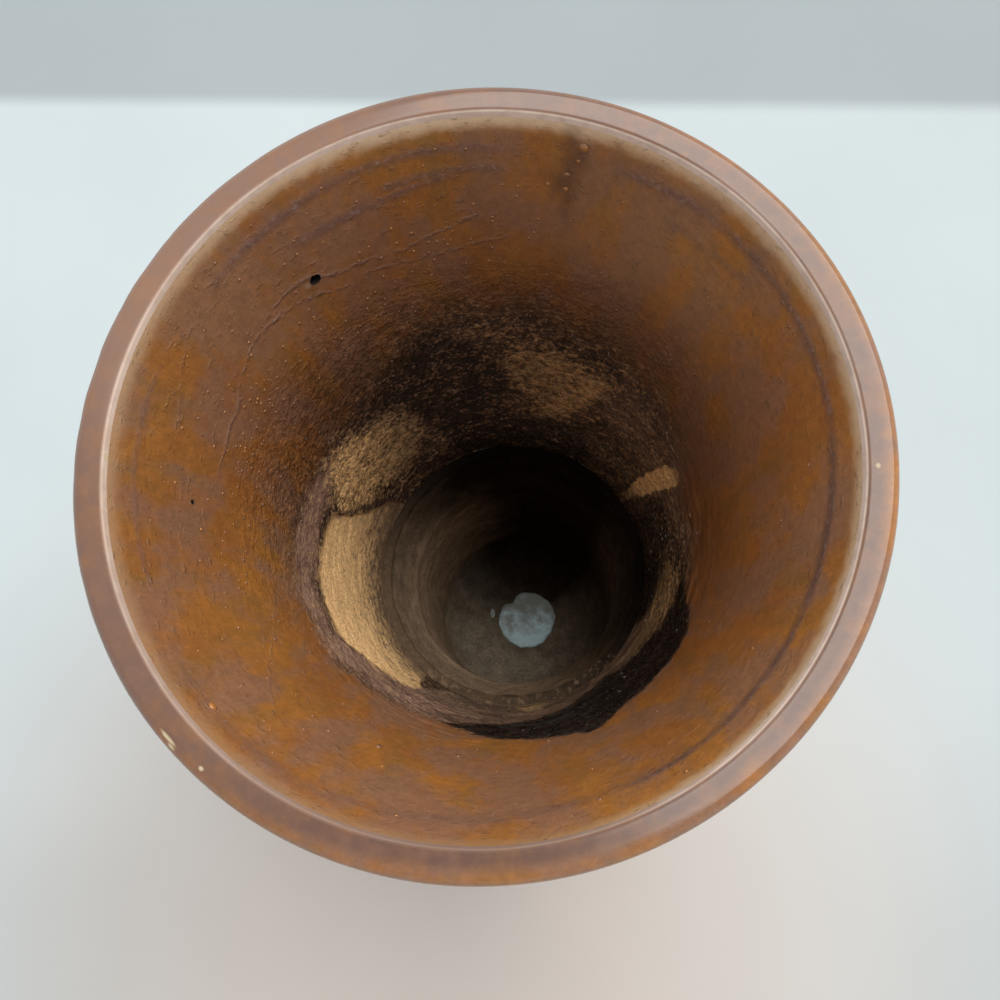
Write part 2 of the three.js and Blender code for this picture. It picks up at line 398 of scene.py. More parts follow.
# Each row: angle, radius, depth below the lip, half out, half across, half down, raggedness, softness
CHIPS = [
    (144.0, 74.7, 1.6, 0.55, 2.6, 0.9, 0.35, 0.3),
    (156.4, 74.5, 1.5, 0.55, 1.6, 0.9, 0.35, 0.3),
    (180.5, 68.7, 1.4, 0.8, 0.75, 0.9, 0.15, 0.2),
    (224.3, 73.3, 0.4, 0.3, 1.7, 1.0, 0.3, 0.5),
    (225.4, 73.9, 0.8, 0.3, 0.8, 1.0, 0.3, 0.5),
    (230.5, 72.9, 0.4, 0.35, 0.5, 0.8, 0.25, 0.5),
    (356.0, 70.8, 0.3, 0.40, 0.45, 0.8, 0.2, 0.4),
]
KNOT = [
    (74.0, 66.0, 14.0, 20.0, 1.8, 12.0, 0.3, 0.9),
    (73.0, 66.0, 9.5, 20.0, 2.2, 4.0, 0.3, 0.9),
    (75.0, 66.0, 17.0, 20.0, 2.6, 3.5, 0.3, 0.9),
]
HOLE_RIM = [(130.6, 62.0, 29.6, 6.0, 0.9, 0.8, 0.25, 0.5)]
BRIGHT_CORES = [(155.0, 51.0, 92.0, 8.0, 7.0, 8.0, 0.3, 0.9)]

# Areas of the funnel by colour: angle, top and bottom in mm below the lip
TAN = [
    [(150, 125, 150), (156, 118.5, 150), (161, 112, 150), (164, 106, 150), (167, 99, 150), (169, 92, 150),
     (173, 90.5, 150), (178, 89, 150), (183, 87, 150), (190, 85.5, 150), (197, 85, 150), (204, 85.5, 150),
     (210, 86, 150), (214, 90, 150), (218, 94.5, 150), (222, 97.5, 150), (226, 100, 146), (230, 102, 134),
     (233, 105, 120), (235, 109, 113)],
    [(273, 125, 135), (276, 122, 139), (281, 121, 139), (284, 126, 135)],
    [(19.5, 85, 93), (22, 86, 103), (24.5, 89, 110), (27, 94, 117), (29, 101, 123), (31, 110, 130),
     (32.5, 121, 140)],
]
LEAF = [[(57, 83, 88), (60, 85, 96), (64, 89, 102), (68, 94, 106), (72, 99, 109), (76, 103, 111),
         (79, 107, 111)]]
DIM_TAN = [
    [(127, 97, 110), (130, 93.5, 115), (134, 90, 118), (139, 87.5, 118), (144, 85, 116),
     (149, 83, 114), (154, 82.5, 112.5), (158, 85, 111), (162, 90, 107), (165, 95, 102)],
    [(56, 80, 86), (59, 79, 94), (63, 80, 101), (68, 78, 106), (73, 77, 109), (78, 77, 107), (83, 78, 100),
     (87, 80, 94)],
    [(323, 112, 118), (328, 106, 122), (333, 101, 127), (338, 99, 128), (343, 98, 124), (348, 98, 120),
     (353, 101, 115), (358, 106, 110)],
]
HAZE = [
    [(160, 78, 84), (168, 75, 86), (178, 73, 86), (188, 71, 84), (196, 69, 83), (206, 69, 83),
     (214, 72, 90),
     (222, 78, 98), (230, 82, 106), (238, 84, 118), (246, 88, 136), (256, 92, 150), (270, 98, 150),
     (290, 108, 150),
     (310, 112, 150), (330, 112, 150)],
]
DARK = [
    [(93, 84, 108), (97, 77, 136), (102, 71, 138), (108, 67, 138), (113, 67, 126), (119, 68, 106),
     (125, 70, 94),
     (131, 73, 87), (137, 75, 84), (142, 77, 82)],
    [(252, 88, 90), (258, 85, 94), (265, 81, 98), (272, 78, 101), (280, 75, 104), (286, 72, 107),
     (291, 69, 110),
     (295, 65, 113), (299, 68, 117), (303, 71, 119), (309, 73.5, 120), (314, 73, 114), (319, 72, 110),
     (325, 71.5, 106), (331, 73, 103), (337, 78, 99), (343, 84, 95), (348, 90, 93)],
    [(338, 126, 138), (345, 120, 150), (352, 117, 150), (360, 113, 150), (367, 107, 150), (375, 104, 150),
     (380, 107, 138)],
    [(56, 120, 130), (64, 114, 150), (74, 114, 150), (84, 113, 150), (92, 109, 150)],
]
# A crease along the main tan patch's upper edge, darkened as painted shade
CREASE_SHADE_BAND = [[(142, 129, 133), (148, 123.5, 127), (153, 117, 120.5), (158, 111, 114.5), (163, 103.5, 107),
           (166.5, 97.5, 100.5), (169, 93.5, 96)]]
RUDDY = [[(2, 84, 96), (8, 83, 100), (15, 82, 104), (25, 81, 106), (35, 79, 104), (45, 78, 102),
          (53, 78, 98)]]

# Lines on the wall: points of angle and depth, half width, strength
VIOLET_LINES = [
    ([(0, 10.9), (15, 9.9), (30, 9.2), (45, 8.9), (60, 9.4), (70, 9.8)], 2.3, 0.9),
    ([(33, 14.5), (42, 16.5), (50, 16.6), (57, 15)], 2.4, 0.5),
    ([(80, 9.8), (90, 9.2), (100, 8.7), (112, 8.6), (124, 9.2), (135, 9.9), (150, 10.4)], 2.2, 0.9),
    ([(84, 14.6), (95, 14.6), (104, 14.9), (112, 15.4)], 2.0, 0.75),
    ([(92, 14.4), (100, 16.4), (112, 18.2), (122, 18.2), (132, 17.2)], 2.2, 0.8),
    ([(160, 9.4), (175, 9.0), (190, 9.6), (205, 10.8)], 1.6, 0.5),
    ([(208, 11.5), (225, 9.0), (240, 9.0), (255, 12), (270, 15), (285, 17), (300, 17), (312, 16)], 4.0,
     0.5),
    ([(285, 16.5), (300, 15.0), (315, 14.3), (330, 13.6), (345, 12.8), (360, 11.5), (372, 10.4)], 2.8, 1.0),
]
RAISED_LINES = [
    ([(84, 26.2), (90, 27.6), (95, 29.2), (103, 32.2), (110, 34.2), (118, 32.7), (127, 30.2), (133, 27.2),
      (140, 27.2), (146, 29.0)], 1.0, 0.9),
    ([(118, 40.0), (125, 36.2), (132, 32.6), (140, 30.4), (147, 29.8), (153, 32.2), (158, 35.0),
      (164, 36.2),
      (178, 36.6)], 1.0, 0.8),
    ([(84, 34.0), (90, 36.0), (97, 38.0), (104, 38.4), (112, 37.2), (120, 35.4)], 1.0, 0.7),
    ([(140, 81.2), (155, 78.2), (165, 77.2), (172, 73.2), (180, 70.2), (190, 65.2), (204, 55.0),
      (214, 45.0)], 1.1, 0.7),
    ([(92, 76.0), (104, 70.0), (116, 64.0), (128, 57.0), (138, 52.0), (152, 50.0)], 1.2, 0.6),
    ([(12, 15), (20, 26), (28, 37), (36, 50), (42, 62)], 0.8, 0.35),
    ([(26, 22), (36, 34), (44, 46), (50, 60)], 0.8, 0.3),
    ([(50, 18), (58, 25), (66, 33)], 0.8, 0.3),
    ([(150, 10), (158, 14), (166, 18), (174, 20)], 0.7, 0.35),
    ([(186, 72), (196, 64), (206, 54), (214, 44), (222, 34), (232, 22)], 1.0, 0.4),
    ([(196, 80), (206, 71), (214, 60), (222, 50), (230, 40)], 0.9, 0.3),
    ([(288, 62), (300, 60), (315, 57), (330, 53), (345, 50), (358, 50)], 1.1, 0.35),
]

# How far down the lacquer reaches, and how softly it ends, in mm, by angle
LACQUER_EDGE = [
    (0, 88), (10, 89), (20, 86), (30, 76), (45, 70), (60, 66), (75, 63), (90, 60), (105, 60), (120, 67),
    (135, 76),
    (150, 78), (165, 74), (185, 71), (205, 72), (215, 74), (225, 78), (240, 85), (250, 88), (256, 86),
    (262, 82.5), (270, 79),
    (278, 76), (285, 72.5), (290, 69), (295, 65), (299, 68), (303, 71), (310, 73), (318, 72), (326, 72),
    (334, 76),
    (342, 84), (352, 88), (360, 88),
]
LACQUER_SOFTNESS = [(0, 9), (30, 13), (120, 14), (150, 9), (175, 8), (235, 7), (250, 3.4), (290, 3.0),
                    (304, 4), (330, 3.4), (345, 6), (360, 9)]
# Painted shade on the far wall as a share by angle, and painted light and shade round the wall in parts of
# 100
FAR_PAINTED_SHADE = [(0, 0.45), (40, 0.7), (90, 0.85), (135, 0.75), (165, 0.35), (200, 0.0), (300, 0.0), (335, 0.2),
             (360, 0.45)]
SIDE_SHADE = [(0, 134), (30, 112), (50, 100), (90, 92), (135, 96), (180, 88), (225, 104), (270, 124),
              (315, 140), (360, 134)]

# A curve's highest value, the value of a full share, and how far a band's edges cross at its ends
CURVE_TOP = 160.0
FULL = 120.0
CLOSED_BY = 12


def over_angle(g, angle, points):
    """A value that follows the angle along a curve through some points, level past both ends."""
    first, last = points[0][0], points[-1][0]
    middle = (first + last) / 2
    made = g.node("ShaderNodeFloatCurve")
    curve = made.mapping.curves[0]
    spots = [((a - first) / (last - first), value / CURVE_TOP) for a, value in points]
    curve.points[0].location = spots[0]
    curve.points[1].location = spots[-1]
    for spot in spots[1:-1]:
        curve.points.new(*spot)
    for spot in curve.points:
        spot.handle_type = "AUTO_CLAMPED"
    made.mapping.update()
    near = g.math("WRAP", angle, middle + 180.0, middle - 180.0)
    g.put(made.inputs["Value"], g.span(near, first, last, smooth=False))
    return g.times(made.outputs[0], CURVE_TOP)


def angle_share(g, angle, points):
    """A share from 0 to 1 that follows the angle, its points given in parts of FULL."""
    return g.math("DIVIDE", over_angle(g, angle, points), FULL)


def band(g, place, rows, softness):
    """1 between a top and a bottom edge drawn over the angle, closed at both ends."""
    turn = 3.0 + 1.5 * softness
    ends = []
    for way, (angle, high, low) in ((-1, rows[0]), (1, rows[-1])):
        middle = (high + low) / 2
        ends.append((angle + way * turn, middle + CLOSED_BY, middle - CLOSED_BY))
    closed = [ends[0], *rows, ends[1]]
    top = over_angle(g, place["Angle"], [(a, high) for a, high, _ in closed])
    bottom = over_angle(g, place["Angle"], [(a, low) for a, _, low in closed])
    under = g.span(g.minus(place["Depth"], top), -softness, softness)
    above = g.span(g.minus(bottom, place["Depth"]), -softness, softness)
    return g.times(under, above)


def bands(g, place, table, softness):
    """The union of some bands."""
    return union(g, [band(g, place, rows, softness) for rows in table])


def union(g, masks):
    """The greatest of some masks."""
    whole = masks[0]
    for mask in masks[1:]:
        whole = g.most(whole, mask)
    return whole


def lines(g, place, table):
    """1 along some thin lines drawn over the angle, each fading at its ends."""
    masks = []
    for points, half_width, strength in table:
        depth = over_angle(g, place["Angle"], points)
        near = g.span(g.math("ABSOLUTE", g.minus(place["Depth"], depth)), 0.0, half_width, strength, 0.0)
        middle, half = (points[0][0] + points[-1][0]) / 2, (points[-1][0] - points[0][0]) / 2
        off = g.math("ABSOLUTE", g.minus(g.math("WRAP", place["Angle"], middle + 180.0, middle - 180.0),
                                         middle))
        masks.append(g.times(near, g.span(off, half * 0.7, half, 1.0, 0.0)))
    return union(g, masks)


def patches(g, place, rows):
    """The union of some oval patches."""
    keys = ("angle", "radius", "depth", "half_out", "half_across", "half_down", "ragged", "softness")
    return union(g, [g.group("Oval patch", place=place, **dict(zip(keys, row)))["Mask"] for row in rows])


def wandered(g, place, amount):
    """Depth and angle of the turning place, astray by about amount mm, for ragged edges."""
    where = place["Place"]
    down = g.minus(g.noise(where, 0.16, 5.0, 0.65), 0.5)
    across = g.minus(g.noise(g.vector("ADD", where, (31.0, 17.0, 5.0)), 0.16, 5.0, 0.65), 0.5)
    return {
        "Depth": g.times_plus(down, amount * NOISE_REACH, place["Depth"]),
        "Angle": g.times_plus(across, amount * NOISE_REACH, place["Angle"]),
    }


def grainy(g, mask, grain, amount, half):
    """A soft mask broken up by a grain."""
    broken = g.times_plus(g.minus(grain, 0.5), amount * NOISE_REACH, mask)
    return g.span(broken, 0.5 - half, 0.5 + half)


def rubbed_and_highlight_share(g, angle):
    """How far the lip's inner edge is rubbed pale and given a painted highlight, by angle."""
    return angle_share(g, angle, [(0, 116), (45, 116), (90, 112), (140, 88), (175, 84), (215, 48),
                                  (270, 24), (315, 104), (360, 116)])


def lip_colour(g, place, wood):
    """Across the lip: a pale ridge inside, rubbed and with a painted highlight; a brown-violet flat with a
    painted sheen, paler on the far left; and an orange outer round.
    """
    radius, angle = place["Radius"], place["Angle"]
    patchy = g.noise(place["Place"], 0.25, 3.0, 0.6)
    cloudy = g.span(patchy, 0.35, 0.65, 0.74, 0.95)
    # The flat's brown-violet is its colour with a painted sheen on it, paler on the far left, where it also
    # reaches further out
    pale = angle_share(g, angle, [(0, 22), (45, 44), (90, 62), (120, 110), (150, 120), (185, 72), (225, 50),
                                  (270, 16), (320, 14), (360, 22)])
    violet = g.mix(pale, LIP_DARK, LIP_SHEEN)
    reach = over_angle(g, angle, [(0, 72), (60, 73.5), (110, 76), (190, 76), (230, 73.5), (270, 72),
                                  (360, 72)])
    outward = g.minus(radius, reach)
    flat = g.times(g.span(radius, 68.0, 68.4), g.span(outward, -1.2, 2.6, 1.0, 0.15))
    upper = g.times(flat, g.span(place["Depth"], 1.6, 3.2, 1.0, 0.0))
    colour = g.mix(g.times(upper, cloudy), wood["Colour"], violet)
    # The inner ridge is rubbed pale and carries a painted highlight, its share set by angle
    ridge = g.times(g.span(radius, 71.0, 72.0, 1.0, 0.0), g.span(place["Depth"], 0.14, 0.45))
    worn = g.times(ridge, g.span(patchy, 0.35, 0.6, 0.8, 1.0))
    colour = g.mix(g.times(worn, rubbed_and_highlight_share(g, angle)), colour, WORN_AND_HIGHLIGHT)
    rubbed = g.times(g.span(radius, 74.2, 74.7),
                     g.span(g.noise(place["Place"], 0.25, 4.0, 0.7), 0.36, 0.50))
    left = angle_share(g, angle, [(70, 0), (105, 80), (150, 120), (190, 110), (215, 40), (240, 0)])
    on_edge = g.times(g.times(rubbed, left), g.span(place["Depth"], 1.1, 1.9, 0.9, 0.0))
    return g.mix(on_edge, colour, WORN_OUTSIDE)


def painted_under_lip_light(g, angle):
    """Painted light just under the lip's inner edge, more orange on the lit side."""
    lit_side = angle_share(g, angle, [(0, 115), (45, 75), (90, 80), (135, 30), (180, 5), (225, 10),
                                      (270, 30), (300, 95), (330, 115), (360, 115)])
    return g.mix(lit_side, UNDER_LIP_SHADE, UNDER_LIP_LIGHT)


def outside_material(colours):
    """Glossy lacquer on the outside and the lip, with worn edges and chips, and a painted sheen and
    highlight on the lip.
    """
    made, g, surface = material("lacquer outside", 0.45, 1.0, 0.15)
    surface.inputs["Specular IOR Level"].default_value = 0.1
    place = g.group("Turning place")
    wood = g.group("Lacquered wood", place=place["Place"], **lacquer_values(colours))
    colour = lip_colour(g, place, wood)
    chips = patches(g, place["Place"], CHIPS)
    colour = g.mix(g.times(chips, 0.9), colour, CHIPPED)
    g.put(surface.inputs["Base Color"], colour)
    round_edge = g.times(g.span(place["Radius"], 69.5, 69.8, 1.0, 0.0),
                         g.span(place["Depth"], 3.0, 5.0, 1.0, 0.0))
    shine = g.minus(1.0, g.times(round_edge, 0.85))
    g.put(surface.inputs["Coat Weight"], g.times(shine, g.minus(1.0, chips)))
    g.put(surface.inputs["Normal"], g.bump(wood["Height"], 0.35, 0.0004))
    return made


def rough_colour(g, colours, place, torn):
    """Colour of the funnel below the lacquer: bare tan, stained umber and near-black areas."""
    edges = wandered(g, place, 1.3)
    angle, depth = place["Angle"], place["Depth"]
    sand, dash, clump = torn["Sand"], torn["Dash"], torn["Clump"]
    bumps = g.span(torn["Height"], 0.98, 1.34)
    haze = grainy(g, bands(g, edges, HAZE, 6.0), clump, 0.3, 0.42)
    dim = grainy(g, bands(g, edges, DIM_TAN, 9.0), g.mix(0.5, sand, dash), 0.8, 0.5)
    tan = grainy(g, bands(g, edges, TAN, 3.0), dash, 0.4, 0.40)
    leaf = grainy(g, bands(g, edges, LEAF, 5.5), dash, 0.6, 0.5)
    dark = grainy(g, bands(g, edges, DARK, 5.0), dash, 0.5, 0.45)
    cores = grainy(g, patches(g, place["Place"], BRIGHT_CORES), sand, 0.5, 0.5)
    # The wood's brown and umber, mixed by its clumps, with painted light on the bump tops and painted shade
    # in the hollows
    colour = g.mix(g.times(bumps, g.span(clump, 0.35, 0.65, 0.4, 0.85)), colours.umber, BROWN)
    mauve = g.mix(g.span(clump, 0.35, 0.65), MAUVE_DARK, MAUVE_LIGHT)
    mauve = g.mix(g.span(depth, 100.0, 126.0, 0.0, 0.55), mauve, MAUVE_LOW)
    lighter = g.times(g.span(angle, 150.0, 165.0, 1.0, 1.32), g.span(angle, 236.0, 256.0, 1.0, 0.72))
    colour = g.mix(haze, colour, g.vector("SCALE", mauve, scale=lighter))
    colour = g.mix(g.times(bands(g, edges, RUDDY, 7.0), g.span(dash, 0.3, 0.6, 0.45, 0.9)), colour,
                   RUDDY_BROWN)
    strength = angle_share(g, angle, [(50, 46), (66, 44), (88, 36), (112, 24), (122, 34), (132, 46),
                                      (142, 70), (150, 90), (158, 98), (166, 92), (200, 60), (300, 34),
                                      (330, 50), (345, 58), (358, 38), (366, 24)])
    faded = g.times(strength, g.span(depth, 92.0, 128.0, 1.0, 0.5))
    dim_colour = g.mix(g.times(faded, g.span(dash, 0.32, 0.62, 0.55, 1.2)), colours.umber, colours.tan)
    colour = g.mix(dim, colour, dim_colour)
    colour = g.mix(g.times(cores, 0.6), colour, g.mix(0.22, colours.tan, colours.umber))
    colour = g.mix(g.times(leaf, 0.72), colour, g.mix(0.45, colours.tan, colours.umber))
    lower = g.plus(depth, g.times(g.minus(g.plus(sand, dash), 1.0), 62.0))
    inside = g.mix(g.span(lower, 110.0, 136.0, 1.0, 0.0), TAN_SHADED, colours.tan)
    left_tan = angle_share(g, angle, [(146, 52), (160, 72), (168, 98), (175, 120)])
    left_tan = g.most(left_tan, g.span(angle, 138.0, 146.0, 1.0, 0.0))
    colour = g.mix(g.times(tan, left_tan), colour, inside)
    low = g.times(g.span(depth, 116.0, 138.0), g.span(sand, 0.40, 0.56, 1.0, 0.0))
    colour = g.mix(g.times(low, 0.5), colour, colours.umber)
    # A band of painted shade along a crease
    crease = grainy(g, bands(g, edges, CREASE_SHADE_BAND, 1.8), dash, 0.4, 0.45)
    colour = g.mix(g.times(crease, 0.65), colour, CREASE_SHADE_BROWN)
    near_side = g.span(angle, 215.0, 240.0)
    # Brown on the highest bristles over near-black: painted light on their tops, less on the near side
    lit_bristle_tops = g.times(g.span(torn["Height"], 1.12, 1.42), g.span(near_side, 0.0, 1.0, 0.95, 0.12))
    dark_colour = g.mix(lit_bristle_tops, g.mix(near_side, NEAR_BLACK, colours.stain), BROWN)
    colour = g.mix(g.times(dark, 0.95), colour, dark_colour)
    streak = g.noise(g.stretch(place["Place"], (0.16, 0.16, 1.0)), 0.55, 4.0, 0.65)
    colour = g.mix(near_side, colour, g.tint(colour, g.span(streak, 0.32, 0.68, 0.62, 1.35)))
    low_far = g.times(g.span(depth, 112.0, 132.0), g.span(angle, 125.0, 150.0, 1.0, 0.0))
    colour = g.tint(colour, g.span(low_far, 0.0, 1.0, 1.0, 0.5))
    calm = g.most(g.times(haze, g.span(near_side, 0.0, 1.0, 0.6, 0.2)), g.times(tan, 0.72))
    shade = g.times(g.span(torn["Height"], 0.85, 1.5, 0.62, 1.45, smooth=False),
                    g.span(torn["Crease"], 0.0, 1.0, 0.72, 1.06))
    colour = g.tint(colour, g.mix(calm, shade, WHITE))
    speck = g.noise(place["Place"], 1.9, 2.0, 0.6)
    sanded = g.times(g.most(tan, g.times(dim, 0.8)), 0.9)
    return g.mix(sanded, colour, g.tint(colour, g.span(speck, 0.32, 0.68, 0.62, 1.32, smooth=False)))


def funnel_material(colours):
    """Inside of the mouth section: lacquer that thins out over stained, torn and bare wood, with light and
    shade painted into its colour.
    """
    made, g, surface = material("funnel wall", 0.5, 1.0, 0.2)
    place = g.group("Turning place")
    where = place["Place"]
    angle = place["Angle"]
    wood = g.group("Lacquered wood", place=where, **lacquer_values(colours))
    torn = g.group("Torn grain", place=where)
    edges = wandered(g, place, 0.45)

    # Painted shade darkens the far wall from 25 mm down
    stain = g.times(over_angle(g, angle, FAR_PAINTED_SHADE), g.span(place["Depth"], 25.0, 84.0))
    # Painted light and shade round the wall, by angle
    side = g.math("DIVIDE", over_angle(g, angle, SIDE_SHADE), 100.0)
    lacquer = g.tint(wood["Colour"], side)
    lacquer = g.mix(stain, lacquer, FAR_SHADE_BROWN)
    patchy = g.noise(where, 0.25, 3.0, 0.6)
    under = g.times_plus(g.minus(patchy, 0.5), 3.0, place["Depth"])
    # A band of painted light just under the lip
    lacquer = g.mix(g.span(under, 2.0, 7.0, 0.62, 0.0), lacquer, painted_under_lip_light(g, angle))
    # A pale band of painted light under the lip's edge, its share set by angle and depth
    clear = angle_share(g, angle, [(0, 100), (45, 92), (90, 116), (135, 66), (165, 30), (200, 8), (270, 4),
                                   (300, 70), (330, 98), (360, 92)])
    clear = g.times(clear, g.span(under, 1.8, 5.5, 1.0, 0.0))
    lacquer = g.mix(clear, lacquer, PAINTED_EDGE_LIGHT)
    # Just under the lip's inner edge: rubbed pale, with a painted highlight
    edge_rubbed_and_highlit = g.times(g.span(place["Depth"], 1.1, g.span(patchy, 0.3, 0.7, 1.4, 1.8), 1.0, 0.0),
                        rubbed_and_highlight_share(g, angle))
    lacquer = g.mix(edge_rubbed_and_highlit, lacquer, WORN_AND_HIGHLIGHT)
    violet = g.times(lines(g, edges, VIOLET_LINES), g.span(torn["Clump"], 0.3, 0.6, 0.55, 1.0))
    violet = g.times(violet, g.span(torn["Sand"], 0.3, 0.7, 0.7, 1.1))
    lacquer = g.mix(g.times(violet, 0.9), lacquer, colours.violet)
    raised = g.times(lines(g, wandered(g, place, 1.1), RAISED_LINES),
                     g.span(torn["Dash"], 0.42, 0.56, 0.15, 1.0))
    lacquer = g.mix(g.times(raised, 0.6), lacquer, RAISED)
    # Painted glints along the violet and raised lines
    glint = g.times(g.most(raised, violet), g.span(g.noise(where, 0.8, 3.0, 0.65), 0.53, 0.66))
    lacquer = g.mix(g.times(glint, 0.55), lacquer, GLINT)
    rim = g.times(patches(g, where, HOLE_RIM), 0.35)
    lacquer = g.mix(rim, lacquer, HOLE_EDGE)
    knot = patches(g, where, KNOT)
    lacquer = g.mix(g.times(knot, 0.55), lacquer, KNOT_DARK)

    edge = over_angle(g, angle, LACQUER_EDGE)
    softness = g.most(over_angle(g, angle, LACQUER_SOFTNESS), 1.0)
    wander = g.times(g.minus(g.noise(where, 0.14, 5.0, 0.65), 0.5), 10.0)
    below = g.minus(g.plus(place["Depth"], wander), edge)
    bare = g.span(g.math("DIVIDE", below, softness), -1.0, 1.0)
    bare = grainy(g, bare, torn["Dash"], 0.35, 0.46)
    torn_share = g.times(g.span(place["Depth"], 30.0, 66.0),
                         over_angle(g, angle, [(10, 15), (50, 90), (80, 120), (155, 120), (185, 70),
                                               (215, 20)]))
    torn_share = g.most(g.math("DIVIDE", torn_share, FULL), bare)
    # Painted shade in the torn grain's hollows and creases
    hollows = g.times(g.span(torn["Height"], 0.85, 1.5, 0.55, 1.25, smooth=False),
                      g.span(torn["Crease"], 0.0, 1.0, 0.72, 1.05))
    pits = g.mix(torn_share, WHITE, hollows)
    lacquer = g.tint(lacquer, pits)
    g.put(surface.inputs["Base Color"], g.mix(bare, lacquer, rough_colour(g, colours, place, torn)))

    tan_area = g.most(bands(g, place, TAN[:1], 3.0), g.times(bands(g, place, HAZE, 6.0), 0.6))
    g.put(surface.inputs["Coat Weight"], g.minus(1.0, torn_share))
    g.put(surface.inputs["Roughness"], g.most(g.span(torn_share, 0.0, 1.0, 0.42, 0.27, smooth=False),
                                              g.times(tan_area, 0.8)))
    smooth_height = g.times_plus(raised, 0.28, g.times_plus(violet, 0.16, wood["Height"]))
    rough_height = g.times(torn["Height"], g.span(tan_area, 0.0, 1.0, 1.0, 0.34))
    height = g.mix(torn_share, smooth_height, rough_height)
    g.put(surface.inputs["Normal"], g.bump(height, 0.8, 0.0011))
    return made


def bore_material(colours):
    """Dull stained wood of the neck and the bore, with the torn end of the spigot, and painted light and
    shade: a lit side across from the lamp, an unlit side lighter on the right, and a lit floor.
    """
    made, g, surface = material("bore wall", 0.85)
    surface.inputs["Specular IOR Level"].default_value = 0.0
    place = g.group("Turning place")
    where, angle, depth = place["Place"], place["Angle"], place["Depth"]
    torn = g.group("Torn grain", place=where)
    # Painted light and shade: lit on the side across from the lamp, unlit on the lamp's own side, and the
    # floor lit the same way
    angle_to = g.mix(g.span(depth, 138.0, 172.0), (0.669, 0.743, 0.0), (0.920, 0.390, 0.0))
    on_floor = g.span(depth, 226.0, 248.0)
    angle_to = g.mix(on_floor, angle_to, (0.60, 0.80, 0.0))
    toward = g.times(g.vector("DOT_PRODUCT", where, angle_to), -1.0 / 34.0)
    cloud = g.noise(where, 0.06, 4.0, 0.6)
    lit = g.times_plus(g.minus(cloud, 0.5), 0.6, toward)
    # Painted light on the right part of the unlit side, growing with depth
    right_side_lit = angle_share(g, angle, [(275, 0), (315, 90), (345, 120), (372, 110), (400, 0)])
    unlit = g.mix(g.times(right_side_lit, g.span(depth, 135.0, 175.0, 0.4, 1.0)), BORE_UNLIT, BORE_RIGHT_LIT)
    colour = g.mix(g.span(lit, -0.45, 1.05), unlit, g.mix(on_floor, colours.bore, BORE_FLOOR_LIT))
    colour = g.tint(colour, g.span(depth, 138.0, 172.0, 0.45, 1.0))
    mottle = g.noise(where, 0.22, 4.0, 0.65)
    colour = g.tint(colour, g.span(mottle, 0.32, 0.68, 0.78, 1.2))
    edges = wandered(g, place, 0.8)
    bits = g.times(g.span(edges["Depth"], 134.2, 137.0, 1.0, 0.0),
                   bands(g, edges, [[(236, 120, 150), (246, 120, 150), (300, 120, 150), (312, 120, 150)]],
                         6.0))
    broken = g.span(g.noise(where, 0.5, 4.0, 0.7), 0.50, 0.66)
    # The joint ring: a dark crack, near-black with painted shade where the bore is unlit, its fibres showing
    # where painted light falls
    shown = angle_share(g, angle, [(0, 2), (30, 6), (60, 2), (100, 2), (135, 12), (160, 55), (185, 100),
                                   (215, 110), (250, 80), (300, 40), (335, 8), (360, 2)])
    joint = g.mix(shown, CRACK_AND_SHADE, CRACK_FIBRES)
    colour = g.mix(g.span(depth, 133.2, 136.0, 1.0, 0.0), colour, joint)
    colour = g.mix(g.times(bits, g.times(broken, 0.5)), colour, SPIGOT_BITS)
    arc_mark = lines(g, edges, [([(110, 176), (125, 173), (140, 171), (155, 172)], 3.0, 0.35)])
    colour = g.mix(arc_mark, colour, TOOL_MARK)
    colour = g.tint(colour, g.span(torn["Sand"], 0.3, 0.7, 0.75, 1.2, smooth=False))
    dress(g, surface, colour, torn["Height"], 0.35, 0.0005)
    return made


def bare_foot_material(colours):
    """Sanded bare wood under the foot, with the turning tool's rings."""
    made, g, surface = material("bare foot", 0.72)
    place = g.group("Turning place")
    growth = g.group("Growth rings", place=place["Place"])
    tool = g.noise(g.times(place["Radius"], 1.4), 1.0, 3.0, 0.7)
    pores = g.noise(place["Place"], 1.8, 3.0, 0.7)
    colour = g.mix(g.span(growth["Figure"], 0.4, 0.7), colours.tan, g.mix(0.6, colours.tan, colours.olive))
    colour = g.tint(colour, g.span(pores, 0.3, 0.7, 0.7, 1.1, smooth=False))
    dress(g, surface, colour, g.plus(tool, pores), 0.3, 0.0004)
    return made


def dowel_material(colours):
    """Pale end grain of the plug."""
    made, g, surface = material("dowel end grain", 0.75)
    place = g.group("Turning place")
    pores = g.noise(place["Place"], 2.6, 3.0, 0.7)
    rings = g.noise(g.times(place["Radius"], 1.1), 1.0, 2.0)
    colour = g.mix(g.span(rings, 0.35, 0.65), colours.tan, g.mix(0.5, colours.tan, colours.olive))
    colour = g.mix(g.span(pores, 0.55, 0.7, 0.0, 0.6), colour, colours.umber)
    dress(g, surface, colour, pores, 0.35, 0.0003)
    return made


def filler_material(colours):
    """Chalky blue-grey filler, darker in mottled spots and away from the viewer."""
    made, g, surface = material("filler", 0.7)
    place = g.group("Turning place")
    _, away, _ = g.split(place["Place"])
    mottle = g.noise(place["Place"], 0.22, 3.0, 0.55)
    grit = g.noise(place["Place"], 1.6, 3.0, 0.7)
    # Darker in mottled spots and away from the viewer
    mottle_and_far = g.times_plus(g.minus(mottle, 0.5), 2.2, g.times(away, 0.055))
    colour = g.mix(g.span(mottle_and_far, -0.55, 0.50), g.mix(0.3, colours.filler, CHALK), FILLER_DARK)
    colour = g.tint(colour, g.span(grit, 0.3, 0.7, 0.85, 1.1, smooth=False))
    dress(g, surface, colour, g.plus(mottle, grit), 0.4, 0.0005)
    return made


